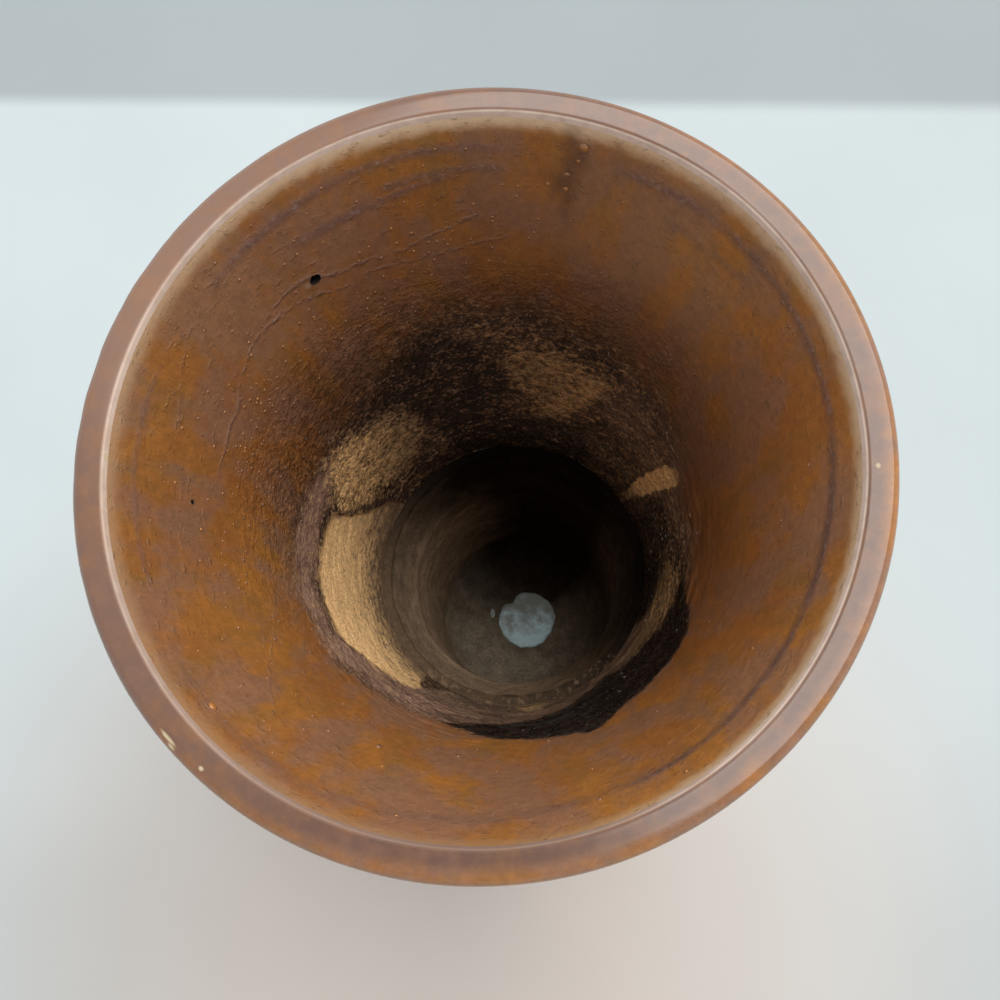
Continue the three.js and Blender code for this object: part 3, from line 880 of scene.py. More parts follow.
def nib_material(colours):
    """Clear lacquer over a grain of dust."""
    made, g, surface = material("lacquer nib", 0.4, 1.0, 0.12)
    place = g.group("Turning place")
    tint = g.noise(place["Place"], 0.5, 2.0)
    deep = g.span(place["Depth"], 28.0, 66.0)
    colour = g.mix(g.span(tint, 0.35, 0.65), colours.amber, g.mix(0.5, colours.russet, colours.violet))
    g.put(surface.inputs["Base Color"], g.mix(g.times(deep, 0.9), colour, NIB_DEEP))
    return made


def fibre_material(colours):
    """Dry whitish ends of torn fibres."""
    made, g, surface = material("torn fibre", 0.32)
    place = g.group("Turning place")
    tint = g.noise(place["Place"], 0.6, 2.0)
    g.put(surface.inputs["Base Color"], g.mix(g.span(tint, 0.35, 0.65), FIBRE_DARK, FIBRE_PALE))
    return made


def settings(context):
    return context.scene.vase_sizes, context.scene.vase_colours


def placed(context, name, data):
    """A new object in the scene."""
    item = bpy.data.objects.new(name, data)
    context.collection.objects.link(item)
    return item


def as_mesh(build, name):
    """The mesh of a finished bmesh."""
    mesh = bpy.data.meshes.new(name)
    build.to_mesh(mesh)
    build.free()
    return mesh


def join(mesh, others):
    """Adds other meshes to a mesh."""
    build = bmesh.new()
    for part in (mesh, *others):
        build.from_mesh(part)
    build.to_mesh(mesh)
    build.free()


def worked(context, name, host, helper):
    """The mesh of an object after its modifiers; the object and its helper are removed."""
    mesh = bpy.data.meshes.new_from_object(host.evaluated_get(context.evaluated_depsgraph_get()))
    mesh.name = name
    for item in (host, helper):
        bpy.data.objects.remove(item)
    return mesh


def ring_faces(rings, steps, closed):
    """Faces between rings of points; closed joins the last ring to the first."""
    faces = []
    for ring in range(rings if closed else rings - 1):
        low, high = ring * steps, (ring + 1) % rings * steps
        for step in range(steps):
            beside = (step + 1) % steps
            faces.append((low + step, low + beside, high + beside, high + step))
    return faces


def arc(centre, radius, start, end, steps):
    """Points of a round in the outline, by angle in degrees from straight out."""
    angles = np.radians(np.linspace(start, end, steps + 1))
    return [(centre[0] + radius * math.cos(a), centre[1] + radius * math.sin(a)) for a in angles]


def run(start, end, steps):
    """Evenly spaced points from start up to, but without, end."""
    return [tuple(np.array(start) + (np.array(end) - np.array(start)) * i / steps) for i in range(steps)]


FLARE_POWER = 1.7
FOOT_POWER = 2.0
MOUTH_STEPS = 400
BODY_STEPS = 320
WALL_STEPS = 90
SHARP_ANGLE = math.radians(42)


def waist_radius(sizes):
    return sizes.throat_radius + sizes.socket_shoulder + sizes.socket_wall


def mouth_outline(sizes):
    """Closed outline of the mouth section in zones: outside, funnel, socket."""
    waist = waist_radius(sizes)
    outer = (sizes.mouth_radius - sizes.lip_outer_round, LIP_HEIGHT - sizes.lip_outer_round)
    inner = (sizes.mouth_radius - sizes.lip_width + sizes.lip_inner_round,
             LIP_HEIGHT - sizes.lip_fall - sizes.lip_inner_round)
    lip = arc(outer, sizes.lip_outer_round, -15, 90, 10)
    lip += run(lip[-1], (inner[0], inner[1] + sizes.lip_inner_round), 4)[1:]
    lip += arc(inner, sizes.lip_inner_round, 88, 165, 7)
    outside = []
    for share in np.linspace(0, 1, 44)[:-1]:
        radius = waist + (lip[0][0] - waist) * share ** FLARE_POWER
        outside.append((radius, SHOULDER + (lip[0][1] - SHOULDER) * share))
    top = (inner[0] - sizes.lip_inner_round, inner[1])
    foot = (sizes.throat_radius, SPIGOT_TOP + sizes.glue_gap)
    funnel = []
    for share in np.linspace(0, 1, 166)[1:]:
        bow = 4 * sizes.funnel_bow * share * (1 - share)
        funnel.append((top[0] + (foot[0] - top[0]) * share - bow, top[1] + (foot[1] - top[1]) * share))
    socket = sizes.throat_radius + sizes.socket_shoulder
    hidden = [(socket, foot[1]), (socket, SHOULDER)]
    return [(outside + lip, "outside"), (funnel, "funnel"), (hidden, "socket")]


def body_outline(sizes):
    """Closed outline of the body section in zones: foot, outside, spigot, ledge, bore."""
    shoulder = SHOULDER - sizes.glue_gap
    spigot = sizes.throat_radius + sizes.socket_shoulder - sizes.glue_gap
    hole = sizes.dowel_radius + sizes.glue_gap
    ring = sizes.foot_radius - sizes.foot_round - sizes.foot_ring_width
    corner = sizes.bore_corner
    foot = run((hole, RECESS_DEPTH), (ring - sizes.recess_slope, RECESS_DEPTH), 14)
    foot += run((ring - sizes.recess_slope, RECESS_DEPTH), (ring, 0.0), 5)
    foot += run((ring, 0.0), (sizes.foot_radius - sizes.foot_round, 0.0), 6)
    outside = arc((sizes.foot_radius - sizes.foot_round, sizes.foot_round), sizes.foot_round, -90, 0, 8)
    waist = waist_radius(sizes)
    for share in np.linspace(0, 1, 46)[1:]:
        radius = waist + (sizes.foot_radius - waist) * (1 - share) ** FOOT_POWER
        outside.append((radius, sizes.foot_round + (shoulder - sizes.foot_round) * share))
    hidden = [(spigot, shoulder), (spigot, SPIGOT_TOP)]
    mouth = (sizes.throat_radius - sizes.ledge_width, SPIGOT_TOP)
    ledge = run((sizes.throat_radius + sizes.glue_gap, SPIGOT_TOP), mouth, 5)
    neck = run(mouth, (sizes.bore_radius, SPIGOT_TOP - sizes.neck_length), 24)
    bore = run((sizes.bore_radius, SPIGOT_TOP - sizes.neck_length),
               (sizes.bore_radius, FLOOR_HEIGHT + corner), 70)
    bore += arc((sizes.bore_radius - corner, FLOOR_HEIGHT + corner), corner, 0, -90, 24)
    bore += run((sizes.bore_radius - corner, FLOOR_HEIGHT), (hole, FLOOR_HEIGHT),
                6)[1:] + [(hole, FLOOR_HEIGHT)]
    return [(foot, "foot"), (outside, "outside"), (hidden, "spigot"), (ledge, "ledge"),
            (neck + bore, "bore")]


def soft_noise(x, y, z, size, seed=0.0):
    """Smooth noise between -1 and 1 with bumps of about size metres."""
    return noise.noise(Vector((x / size + seed, y / size, z / size)))


def bounded(value, low, high):
    return min(max(value, low), high)


def unit(value):
    return bounded(value, 0.0, 1.0)


def turned_mesh(name, zones, steps, relief):
    """A closed turned mesh; relief(zone, x, y, z, angle) moves each point out along the wall."""
    outline = np.array([point for points, _ in zones for point in points])
    names = [zone for points, zone in zones for _ in points]
    ahead = np.roll(outline, -1, axis=0) - np.roll(outline, 1, axis=0)
    normals = np.stack([ahead[:, 1], -ahead[:, 0]], 1)
    normals /= np.linalg.norm(normals, axis=1)[:, None]
    verts = []
    for (radius, height), (out, up), zone in zip(outline, normals, names):
        for step in range(steps):
            angle = 2 * math.pi * step / steps
            cos, sin = math.cos(angle), math.sin(angle)
            push = relief(zone, radius * cos, radius * sin, height, angle)
            r = radius + push * out
            verts.append((bounded(r * cos, CAD_BOX[0].x, CAD_BOX[1].x),
                          bounded(r * sin, CAD_BOX[0].y, CAD_BOX[1].y),
                          bounded(height + push * up, CAD_BOX[0].z, CAD_BOX[1].z)))
    faces = ring_faces(len(outline), steps, True)
    mesh = bpy.data.meshes.new(name)
    mesh.from_pydata(verts, [], faces)
    slots = sorted(set(names), key=names.index)
    mesh.polygons.foreach_set("material_index",
                              np.repeat([slots.index(n) for n in names], steps).astype(np.int32))
    mesh.polygons.foreach_set("use_smooth", np.ones(len(faces), dtype=bool))
    mesh.set_sharp_from_angle(angle=SHARP_ANGLE)
    mesh.validate()
    return mesh


def add_piece(context, name, mesh, node):
    """Puts a finished mesh in the scene on the vase's one body, for a node of the frame where it has one."""
    piece = placed(context, name, mesh)
    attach(piece, "root")
    if node:
        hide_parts(node)
    return piece


def angle_gap(angle, degrees_at):
    """Radians between an angle and one given in degrees."""
    return abs((angle - math.radians(degrees_at) + math.pi) % (2 * math.pi) - math.pi)


CHIP_DEPTH = 0.4 * MM


def chip_dent(x, y, z, angle):
    """How far the lip's chips are sunk."""
    sunk = 0.0
    for at, radius, depth, half_out, half_across, half_down, _, _ in CHIPS:
        out = (math.hypot(x, y) - radius * MM) / (half_out * MM)
        across = angle_gap(angle, at) * radius / half_across
        down = (LIP_HEIGHT - z - depth * MM) / (half_down * MM)
        sunk = max(sunk, 1 - math.hypot(out, across, down))
    return -CHIP_DEPTH * sunk ** 0.5


def nicked(x, y, z, angle):
    """How far the lip's outer edge is worn back on its left side."""
    worn = unit(1 - angle_gap(angle, 165.0) / 1.1) * unit(1 - (LIP_HEIGHT - z) / (5 * MM))
    at_edge = unit((math.hypot(x, y) - 72 * MM) / (2.5 * MM))
    return -0.3 * MM * worn * at_edge * max(soft_noise(x, y, 0.0, 7 * MM, 21.0) + 0.2, 0.0)


def mouth_relief(zone, x, y, z, angle):
    """Turner's ripples, torn grain low in the funnel and chips on the lip."""
    if zone == "socket":
        return 0.0
    ripple = 0.08 * MM * soft_noise(x, y, z * 0.6, 24 * MM)
    if zone == "outside":
        return min(ripple - 0.05 * MM, 0.0) + chip_dent(x, y, z, angle) + nicked(x, y, z, angle)
    depth = LIP_HEIGHT - z
    far = unit(1.2 - angle_gap(angle, 105.0) / 1.2)
    torn = max(unit((depth - 62 * MM) / (25 * MM)), far * unit((depth - 36 * MM) / (30 * MM)))
    dash = 0.3 * MM * soft_noise(x * 0.35, y * 0.35, z, 2.2 * MM, 9.0)
    lump = 0.25 * MM * soft_noise(x, y, z, 7 * MM, 4.0)
    return ripple + torn * (dash + lump)


def body_relief(zone, x, y, z, angle):
    """Ripples outside, a ragged spigot end, and tool chatter in the bore."""
    if zone in ("spigot", "foot"):
        return 0.0
    ripple = 0.10 * MM * soft_noise(x, y, z * 0.6, 24 * MM)
    if zone == "outside":
        return min(ripple - 0.05 * MM, 0.0)
    if zone == "ledge":
        return 0.25 * MM * soft_noise(x, y, z, 1.8 * MM, 5.0) - 0.1 * MM
    chatter = 0.15 * MM * soft_noise(x * 0.2, y * 0.2, z, 3.0 * MM, 2.0)
    fuzz = 0.25 * MM * soft_noise(x, y, z * 0.7, 4.0 * MM, 6.0)
    ragged = 0.5 * MM * unit(1 - (SPIGOT_TOP - z) / (4 * MM)) * soft_noise(x, y, 0.0, 3.0 * MM, 1.0)
    return ripple + chatter + fuzz + ragged


class VASE_OT_mouth_section(bpy.types.Operator):
    """Turns the upper section with its lip, funnel and wormholes"""

    bl_idname = "vase.mouth_section"
    bl_label = "Mouth Section"

    def execute(self, context):
        sizes, colours = settings(context)
        mesh = turned_mesh("mouth_wood", mouth_outline(sizes), MOUTH_STEPS, mouth_relief)
        for made in (outside_material(colours), funnel_material(colours), bare_foot_material(colours)):
            mesh.materials.append(made)
        mesh = drill(context, mesh, sizes)
        add_piece(context, "mouth_wood", mesh, "mouth_section")
        return {"FINISHED"}


# Each row: angle, depth below the lip, radius across, radius up and down, depth of the hole
HOLES = [(128.6, 29.4, 1.5, 1.55, 4.5), (182.5, 27.9, 0.62, 0.66, 1.2)]


def funnel_radius(sizes, height):
    """Radius of the funnel's wall at a height."""
    wall = np.array([points for points, zone in mouth_outline(sizes) if zone == "funnel"][0])
    return float(np.interp(height, wall[::-1, 1], wall[::-1, 0]))


def wall_spot(sizes, at, depth):
    """Placement on the funnel's wall by angle and depth in mm, and the wall's slope there."""
    height = LIP_HEIGHT - depth * MM
    radius = funnel_radius(sizes, height)
    slope = math.atan2(funnel_radius(sizes, height + MM) - radius, MM)
    return Matrix.Rotation(math.radians(at), 4, "Z") @ Matrix.Translation((radius, 0, height)), slope


def drill(context, mesh, sizes):
    """Cuts the beetle holes out of the funnel's wall, their insides painted near-black as shade with specks
    of dust.
    """
    shade, g, surface = material("hole", 0.9)
    dust = g.noise(g.group("Turning place")["Place"], 1.5, 3.0, 0.7)
    g.put(surface.inputs["Base Color"], g.mix(g.span(dust, 0.5, 0.7), HOLE_SHADE, HOLE_DUST))
    for index, (at, depth, across, up, deep) in enumerate(HOLES):
        spot, slope = wall_spot(sizes, at, depth)
        shaft = bmesh.new()
        bmesh.ops.create_cone(shaft, cap_ends=True, segments=20, radius1=across * MM,
                              radius2=across * MM * 0.85, depth=2 * deep * MM)
        for corner in shaft.verts:
            corner.co.xy *= 1 + 0.16 * soft_noise(corner.co.x, corner.co.y, 0.0, 1.1 * MM, index)
        shaft.transform(spot @ Matrix.Rotation(slope, 4, "Y") @ Matrix.Rotation(math.pi / 2, 4, "Y")
                        @ Matrix.Diagonal((up / across, 1, 1, 1)))
        cutter = as_mesh(shaft, "drill")
        cutter.materials.append(shade)
        block, tool = placed(context, "block", mesh), placed(context, "tool", cutter)
        cut = block.modifiers.new("hole", "BOOLEAN")
        cut.operation, cut.solver, cut.object = "DIFFERENCE", "EXACT", tool
        cut.material_mode = "TRANSFER"
        mesh = worked(context, f"mouth_wood_{index}", block, tool)
    return mesh


class VASE_OT_body_section(bpy.types.Operator):
    """Turns the lower section with its spigot, bore and foot"""

    bl_idname = "vase.body_section"
    bl_label = "Body Section"

    def execute(self, context):
        sizes, colours = settings(context)
        mesh = turned_mesh("body_wood", body_outline(sizes), BODY_STEPS, body_relief)
        outside = bpy.data.materials.get("lacquer outside") or outside_material(colours)
        foot, bore = bare_foot_material(colours), bore_material(colours)
        for made in (foot, outside, foot, bore, bore):
            mesh.materials.append(made)
        add_piece(context, "body_wood", mesh, "body_section")
        return {"FINISHED"}


def solid_mesh(name, outline, steps, relief=None):
    """A turned mesh whose outline starts and ends on the axis."""
    build = bmesh.new()
    rings = []
    for radius, height in outline:
        if radius == 0.0:
            rings.append([build.verts.new((0.0, 0.0, height))])
            continue
        ring = []
        for step in range(steps):
            angle = 2 * math.pi * step / steps
            r, z = relief(radius, height, angle) if relief else (radius, height)
            ring.append(build.verts.new((r * math.cos(angle), r * math.sin(angle), z)))
        rings.append(ring)
    for low, high in zip(rings, rings[1:]):
        for step in range(steps):
            beside = (step + 1) % steps
            corners = [low[step % len(low)], low[beside % len(low)], high[beside % len(high)],
                       high[step % len(high)]]
            build.faces.new(list(dict.fromkeys(corners)))
    for face in build.faces:
        face.smooth = True
    bmesh.ops.recalc_face_normals(build, faces=build.faces)
    mesh = as_mesh(build, name)
    mesh.set_sharp_from_angle(angle=SHARP_ANGLE)
    return mesh


class VASE_OT_dowel(bpy.types.Operator):
    """Makes the plug in the pilot hole"""

    bl_idname = "vase.dowel"
    bl_label = "Dowel"

    def execute(self, context):
        sizes, colours = settings(context)
        radius, chamfer = sizes.dowel_radius, 0.6 * MM
        outline = [(0.0, RECESS_DEPTH), (radius / 2, RECESS_DEPTH)]
        outline += arc((radius - chamfer, RECESS_DEPTH + chamfer), chamfer, -90, 0, 4)
        outline += [(radius, FLOOR_HEIGHT), (radius / 2, FLOOR_HEIGHT), (0.0, FLOOR_HEIGHT)]
        mesh = solid_mesh("dowel_plug", outline, 64)
        mesh.materials.append(dowel_material(colours))
        add_piece(context, "dowel_plug", mesh, "centre_dowel")
        return {"FINISHED"}


class VASE_OT_filler(bpy.types.Operator):
    """Makes the dab of filler and the speck beside it"""

    bl_idname = "vase.filler"
    bl_label = "Filler"

    def execute(self, context):
        sizes, colours = settings(context)
        low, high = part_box("filler_dab")
        base = low.z

        def lumpy(radius, height, angle):
            share = radius / sizes.dab_radius
            x, y = radius * math.cos(angle), radius * math.sin(angle)
            wobble = 0.06 * soft_noise(x, y, 0.0, 7 * MM, 3.0) + 0.04 * soft_noise(x, y, 0.0, 2.2 * MM, 8.0)
            notch = 0.20 * math.exp(-(angle_gap(angle, 128.0) / 0.22) ** 2)
            lobe = 0.05 * math.exp(-(angle_gap(angle, 20.0) / 0.4) ** 2)
            lump = 0.4 * MM * soft_noise(x, y, 0.0, 4.2 * MM, 11.0)
            top = height if height == base else bounded(height + lump * (1 - share), base, high.z)
            return radius * (0.96 + wobble + (lobe - notch) * share), top

        def blob(radius, rise):
            angles = np.linspace(0.0, math.pi / 2, 14)
            dome = [(radius * math.cos(a), base + rise * math.sin(a) ** 0.6) for a in angles]
            return [(0.0, base), *dome[:-1], (0.0, dome[-1][1])]

        mesh = solid_mesh("filler_blob", blob(sizes.dab_radius, sizes.dab_height - 0.3 * MM), 96, lumpy)
        speck = solid_mesh("speck", blob(1.0 * MM, 0.6 * MM), 20)
        aside = Matrix.Translation((-14.4 * MM, 3.0 * MM, -0.2 * MM))
        speck.transform(aside @ Matrix.Diagonal((1.0, 1.9, 1.0, 1.0)))
        join(mesh, [speck])
        mesh.materials.append(filler_material(colours))
        add_piece(context, "filler_blob", mesh, "filler_dab")
        return {"FINISHED"}


def scatter_tree(name, grain, made):
    """Geometry nodes that scatter a small mesh over a surface, square to it."""
    tree = bpy.data.node_groups.new(name, "GeometryNodeTree")
    tree.interface.new_socket("Geometry", in_out="INPUT", socket_type="NodeSocketGeometry")
    for key, default in (("Density", 1.0), ("Smallest", 0.5), ("Largest", 1.0)):
        socket = tree.interface.new_socket(key, in_out="INPUT", socket_type="NodeSocketFloat")
        socket.default_value = default
    tree.interface.new_socket("Seed", in_out="INPUT", socket_type="NodeSocketInt").default_value = SEED
    tree.interface.new_socket("Geometry", in_out="OUTPUT", socket_type="NodeSocketGeometry")
    g = Graph(tree)
    start = g.node("NodeGroupInput").outputs
    crowd = g.filled("GeometryNodeInputNamedAttribute", {"Name": "crowd"}, data_type="FLOAT")["Attribute"]
    points = g.filled("GeometryNodeDistributePointsOnFaces", {
        "Mesh": start["Geometry"], "Density": g.times(start["Density"], crowd), "Seed": start["Seed"]})
    spin = g.filled("FunctionNodeRandomValue", {3: 2 * math.pi}, data_type="FLOAT")[1]
    turn = g.filled("FunctionNodeAxisAngleToRotation", {"Axis": (0.0, 0.0, 1.0), "Angle": spin})[0]
    facing = g.filled("FunctionNodeRotateRotation", {"Rotation": points["Rotation"], "Rotate By": turn},
                      rotation_space="LOCAL")[0]
    size = g.filled("FunctionNodeRandomValue", {2: start["Smallest"], 3: start["Largest"]},
                    data_type="FLOAT")[1]
    thing = g.filled("GeometryNodeObjectInfo", {"Object": grain})["Geometry"]
    strewn = g.filled("GeometryNodeInstanceOnPoints", {
        "Points": points["Points"], "Instance": thing, "Rotation": facing, "Scale": size})[0]
    real = g.filled("GeometryNodeRealizeInstances", {0: strewn})[0]
    painted = g.filled("GeometryNodeSetMaterial", {"Geometry": real, "Material": made})[0]
    g.put(g.node("NodeGroupOutput").inputs[0], painted)
    return tree


def scatter(context, name, surface, grain_mesh, made, **values):
    """Runs the scatter on a surface mesh and gives back one plain mesh."""
    host, grain = placed(context, "host", surface), placed(context, "grain", grain_mesh)
    work = host.modifiers.new("scatter", "NODES")
    work.node_group = scatter_tree(name, grain, made)
    for item in work.node_group.interface.items_tree:
        if item.name in values:
            work[item.identifier] = values[item.name]
    mesh = worked(context, name, host, grain)
    mesh.materials.clear()
    mesh.materials.append(made)
    mesh.polygons.foreach_set("material_index", np.zeros(len(mesh.polygons), dtype=np.int32))
    mesh.polygons.foreach_set("use_smooth", np.ones(len(mesh.polygons), dtype=bool))
    return mesh


def wall_surface(points, crowd, steps):
    """An open turned surface facing the axis, whose crowd attribute says how thickly it is strewn."""
    verts, shares = [], []
    for radius, height in points:
        for step in range(steps):
            angle = 2 * math.pi * step / steps
            verts.append((radius * math.cos(angle), radius * math.sin(angle), height))
            shares.append(crowd(math.degrees(angle), LIP_HEIGHT - height))
    mesh = bpy.data.meshes.new("wall")
    mesh.from_pydata(verts, [], ring_faces(len(points), steps, False))
    mesh.attributes.new("crowd", "FLOAT", "POINT").data.foreach_set("value", shares)
    return mesh


def funnel_wall(sizes, first, last, crowd):
    """The funnel's wall between two depths below the lip, as a surface to strew."""
    wall = [points for points, zone in mouth_outline(sizes) if zone == "funnel"][0]
    kept = [p for p in wall[::3] if first <= LIP_HEIGHT - p[1] <= last]
    return wall_surface(kept, crowd, WALL_STEPS)


def dome_mesh(radius, rise, fineness=1):
    """A flattened ball, half sunk in the wall that it is put on."""
    build = bmesh.new()
    bmesh.ops.create_icosphere(build, subdivisions=fineness, radius=radius)
    build.transform(Matrix.Diagonal((1, 1, rise / radius, 1)))
    for face in build.faces:
        face.smooth = True
    return as_mesh(build, "dome")


def sliver_mesh(length, width):
    """A short curled splinter, four-sided, lying along the wall with its tip up."""
    stations = [(-0.5, 0.0, 0.6), (-0.1, 0.10, 1.0), (0.25, 0.30, 0.7), (0.5, 0.62, 0.1)]
    build = bmesh.new()
    rings = []
    for along, up, wide in stations:
        centre = Vector((along * length, 0.0, up * length * 0.5))
        half = width * wide / 2
        rings.append([build.verts.new(centre + Vector(corner) * half)
                      for corner in ((0, -1, 0), (0, 0, -1), (0, 1, 0), (0, 0, 1))])
    for low, high in zip(rings, rings[1:]):
        for side in range(4):
            beside = (side + 1) % 4
            build.faces.new((low[side], low[beside], high[beside], high[side]))
    build.faces.new(rings[0][::-1])
    build.faces.new(rings[-1])
    bmesh.ops.recalc_face_normals(build, faces=build.faces)
    return as_mesh(build, "sliver")


# Where dust and fibres are thicker: angle, depth below the lip, half across in degrees, half down in mm
DUSTY = [(100, 34, 12, 5), (118, 52, 14, 5), (158, 42, 10, 6), (168, 50, 14, 8), (48, 112, 9, 10)]
HAIRY = [(18, 77, 4, 4), (40, 85, 3, 3), (281, 88, 2, 5), (326, 91, 2, 4), (247, 85, 3, 3), (344, 86, 2, 3),
         (10, 108, 9, 12), (46, 116, 6, 6)]
# Grains strewn on a square metre where the crowd is 1
STREWN = 60000.0
# First and last depth of each kind, and its size: radius and rise, length and width
NIB_DEPTHS, NIB = (4 * MM, 124 * MM), (0.45 * MM, 0.18 * MM)
FIBRE_DEPTHS, FIBRE = (60 * MM, 134 * MM), (0.8 * MM, 0.2 * MM)


def thicker(crowd, angle, depth, spots, strength):
    """A crowd raised near some spots."""
    for at, down, wide, tall in spots:
        crowd += strength * math.exp(-((angle - at) / wide) ** 2 - ((depth / MM - down) / tall) ** 2)
    return crowd


def nib_crowd(angle, depth):
    """Dust settled mostly on the far and left sides of the funnel, and in a few rough places."""
    far_left = 0.5 + 0.5 * math.cos(math.radians(angle - 130))
    low = unit((depth - 12 * MM) / (34 * MM))
    if depth > 82 * MM and 165 < angle < 240 or abs(angle - 128.6) < 6 and abs(depth - 29.4 * MM) < 5 * MM:
        return 0.0
    return thicker(0.03 + far_left ** 2 * (0.14 + 0.86 * low), angle, depth, DUSTY, 1.6)


# Larger blisters in the lacquer: angle, depth below the lip, radius in mm
BLISTERS = [
    (223.2, 10.0, 0.9), (245.0, 46.2, 0.9), (261.0, 58.2, 0.7), (64.8, 40.7, 0.6), (72.0, 6.7, 1.1),
    (72.6, 10.4, 0.5),
    (74.5, 14.6, 0.7), (74.5, 18.5, 0.6), (78.0, 18.0, 0.5), (167.0, 44.0, 0.45),
]


def add_blisters(mesh, sizes):
    """Adds the larger blisters to a mesh, each square to the funnel's wall."""
    domes = []
    for at, depth, size in BLISTERS:
        spot, slope = wall_spot(sizes, at, depth)
        dome = dome_mesh(size * MM, 0.42 * size * MM, 3)
        dome.transform(spot @ Matrix.Rotation(slope - math.pi / 2, 4, "Y"))
        domes.append(dome)
    join(mesh, domes)


def fibre_crowd(angle, depth):
    """Torn fibres from the lacquer's edge down to the joint, thickest on the far side."""
    far = 0.35 + 0.65 * (0.5 + 0.5 * math.cos(math.radians(angle - 60)))
    turn = math.radians(angle)
    tuft = soft_noise(math.cos(turn) * 50 * MM, math.sin(turn) * 50 * MM, depth, 9 * MM, 14.0)
    crowd = far * unit(0.15 + 2.0 * tuft) * unit((depth - 62 * MM) / (25 * MM))
    return thicker(crowd, angle, depth, HAIRY, 1.3)


class VASE_OT_lacquer_nibs(bpy.types.Operator):
    """Strews the dust that dried into the lacquer"""

    bl_idname = "vase.lacquer_nibs"
    bl_label = "Lacquer Nibs"

    def execute(self, context):
        sizes, colours = settings(context)
        wall = funnel_wall(sizes, *NIB_DEPTHS, nib_crowd)
        mesh = scatter(context, "lacquer_nibs", wall, dome_mesh(*NIB), nib_material(colours),
                       Density=STREWN, Smallest=0.3, Largest=1.1, Seed=SEED)
        add_blisters(mesh, sizes)
        add_piece(context, "lacquer_nibs", mesh, None)
        return {"FINISHED"}


class VASE_OT_torn_fibres(bpy.types.Operator):
    """Strews the lifted fibres of the rough wood"""

    bl_idname = "vase.torn_fibres"
    bl_label = "Torn Fibres"

    def execute(self, context):
        sizes, colours = settings(context)
        wall = funnel_wall(sizes, *FIBRE_DEPTHS, fibre_crowd)
        mesh = scatter(context, "torn_fibres", wall, sliver_mesh(*FIBRE), fibre_material(colours),
                       Density=STREWN, Smallest=0.5, Largest=1.2, Seed=SEED + 1)
        add_piece(context, "torn_fibres", mesh, None)
        return {"FINISHED"}


# The camera's place and axes, fitted to the rim and the throat in the photograph
CAMERA_PLACE = (0.01506, -0.0528, 0.4398)
CAMERA_RIGHT = (0.99808, 0.0, -0.06186)
CAMERA_UP = (0.01488, 0.97071, 0.24004)
CAMERA_BACK = (0.06004, -0.24050, 0.96879)
FLOOR_REACH = 4.0

# Degrees round and up, distance and width in metres, watts, colour
KEY_LAMP = (48, 61, 4.4, 4.8, 248.0, (1.0, 0.985, 0.96))


def soft_lamp(context, name, azimuth, elevation, distance, width, power, colour):
    """A round soft lamp aimed at the vase's mouth."""
    data = bpy.data.lights.new(name, "AREA")
    data.shape, data.size, data.energy, data.color = "DISK", width, power, colour
    lamp = placed(context, name, data)
    a, e = math.radians(azimuth), math.radians(elevation)
    back = Vector((math.cos(a) * math.cos(e), math.sin(a) * math.cos(e), math.sin(e)))
    lamp.location = Vector((0.0, 0.0, LIP_HEIGHT)) + back * distance
    lamp.rotation_mode = "QUATERNION"
    lamp.rotation_quaternion = back.to_track_quat("Z", "Y")


def floor_material():
    """Pale matt table, with painted bounce light and shade making it warmer towards the viewer, painted
    shade to the right and in the near corners, and the greyer ground behind its far edge.
    """
    made, g, surface = material("pale floor", 0.7)
    where = g.node("ShaderNodeTexCoord").outputs["Object"]
    x, y, _ = g.split(where)
    from_front = g.vector("LENGTH", g.stretch(g.vector("ADD", where, (0.03, 0.14, 0.0)), FLAT))
    # Painted bounce light and shade, warmer and darker towards the viewer
    colour = g.mix(g.span(from_front, 0.05, 0.30, 1.0, 0.0), TABLE, TABLE_SHADE_AND_BOUNCE)
    past_edge = g.times_plus(x, 0.052, y)
    colour = g.mix(g.span(past_edge, 0.2557, 0.2671), colour, GROUND)
    # Painted shade, darker to the right
    colour = g.tint(colour, g.span(x, -0.20, 0.20, 1.0, 0.91))
    # Painted shade in the near corners
    corners = g.times(g.span(g.math("ABSOLUTE", x), 0.08, 0.2), g.span(y, -0.14, -0.04, 1.0, 0.0))
    colour = g.tint(colour, g.span(corners, 0.0, 1.0, 1.0, 0.92))
    cloud = g.noise(where, 9.0, 3.0)
    g.put(surface.inputs["Base Color"], g.tint(colour, g.span(cloud, 0.3, 0.7, 0.98, 1.02)))
    return made


def studio_world():
    """Even studio light, brighter low down than overhead."""
    world = bpy.data.worlds.new("studio")
    world.use_nodes = True
    g = Graph(world.node_tree)
    _, _, up = g.split(g.node("ShaderNodeTexCoord").outputs["Generated"])
    background = world.node_tree.nodes["Background"]
    g.put(background.inputs["Color"], g.mix(g.span(up, 0.0, 0.85), SKY_LOW, SKY_HIGH))
    background.inputs["Strength"].default_value = 1.0
    return world


def floor(context, reach, made):
    """A square floor under the vase, reaching so far each way."""
    mesh = bpy.data.meshes.new("floor")
    mesh.from_pydata([(-reach, -reach, 0.0), (reach, -reach, 0.0), (reach, reach, 0.0),
                      (-reach, reach, 0.0)], [], [(0, 1, 2, 3)])
    mesh.materials.append(made)
    piece = placed(context, "floor", mesh)


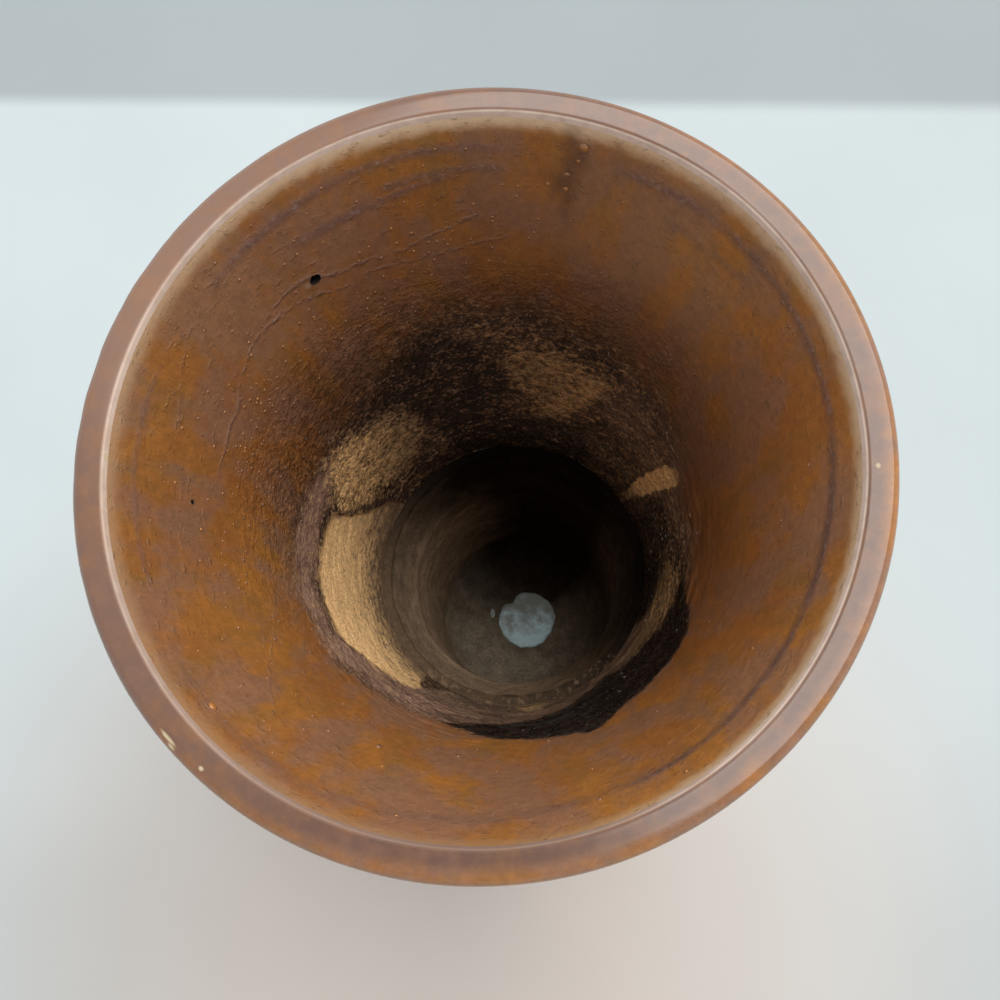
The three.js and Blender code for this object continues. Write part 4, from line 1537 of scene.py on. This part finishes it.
class VASE_OT_stage(bpy.types.Operator):
    """Sets the floor, the lamps and the camera"""

    bl_idname = "vase.stage"
    bl_label = "Stage"

    def execute(self, context):
        floor(context, FLOOR_REACH, floor_material())
        soft_lamp(context, "key", *KEY_LAMP)
        context.scene.world = studio_world()
        context.scene.view_settings.view_transform = "Standard"
        data = bpy.data.cameras.new("photo camera")
        data.sensor_width, data.lens = 36.0, 36.0
        data.clip_start, data.clip_end = 0.01, 20.0
        camera = placed(context, "photo camera", data)
        turn = Matrix((CAMERA_RIGHT, CAMERA_UP, CAMERA_BACK)).transposed().to_4x4()
        camera.matrix_world = Matrix.Translation(CAMERA_PLACE) @ turn
        context.scene.camera = camera
        return {"FINISHED"}


class VASE_PT_panel(bpy.types.Panel):
    """The vase's pieces, sizes and colours"""

    bl_idname = "VASE_PT_panel"
    bl_label = "Turned Vase"
    bl_space_type = "VIEW_3D"
    bl_region_type = "UI"
    bl_category = "Vase"

    def draw(self, context):
        for operator in OPERATORS:
            self.layout.operator(operator.bl_idname)
        for settings in (context.scene.vase_sizes, context.scene.vase_colours):
            for name in settings.__annotations__:
                self.layout.prop(settings, name)


OPERATORS = (
    VASE_OT_stage, VASE_OT_mouth_section, VASE_OT_body_section, VASE_OT_dowel, VASE_OT_filler,
    VASE_OT_lacquer_nibs, VASE_OT_torn_fibres,
)
CLASSES = (VaseSizes, VaseColours, *OPERATORS, VASE_PT_panel)


def register():
    """Registers the classes and hangs the settings on the scene."""
    for item in CLASSES:
        bpy.utils.register_class(item)
    bpy.types.Scene.vase_sizes = bpy.props.PointerProperty(type=VaseSizes)
    bpy.types.Scene.vase_colours = bpy.props.PointerProperty(type=VaseColours)


def unregister():
    del bpy.types.Scene.vase_sizes
    del bpy.types.Scene.vase_colours
    for item in reversed(CLASSES):
        bpy.utils.unregister_class(item)


def main():
    """Builds the stage and every piece in order."""
    register()
    build_groups()
    for operator in OPERATORS:
        getattr(bpy.ops.vase, operator.bl_idname.split(".")[1])()


if __name__ == "__main__":
    main()
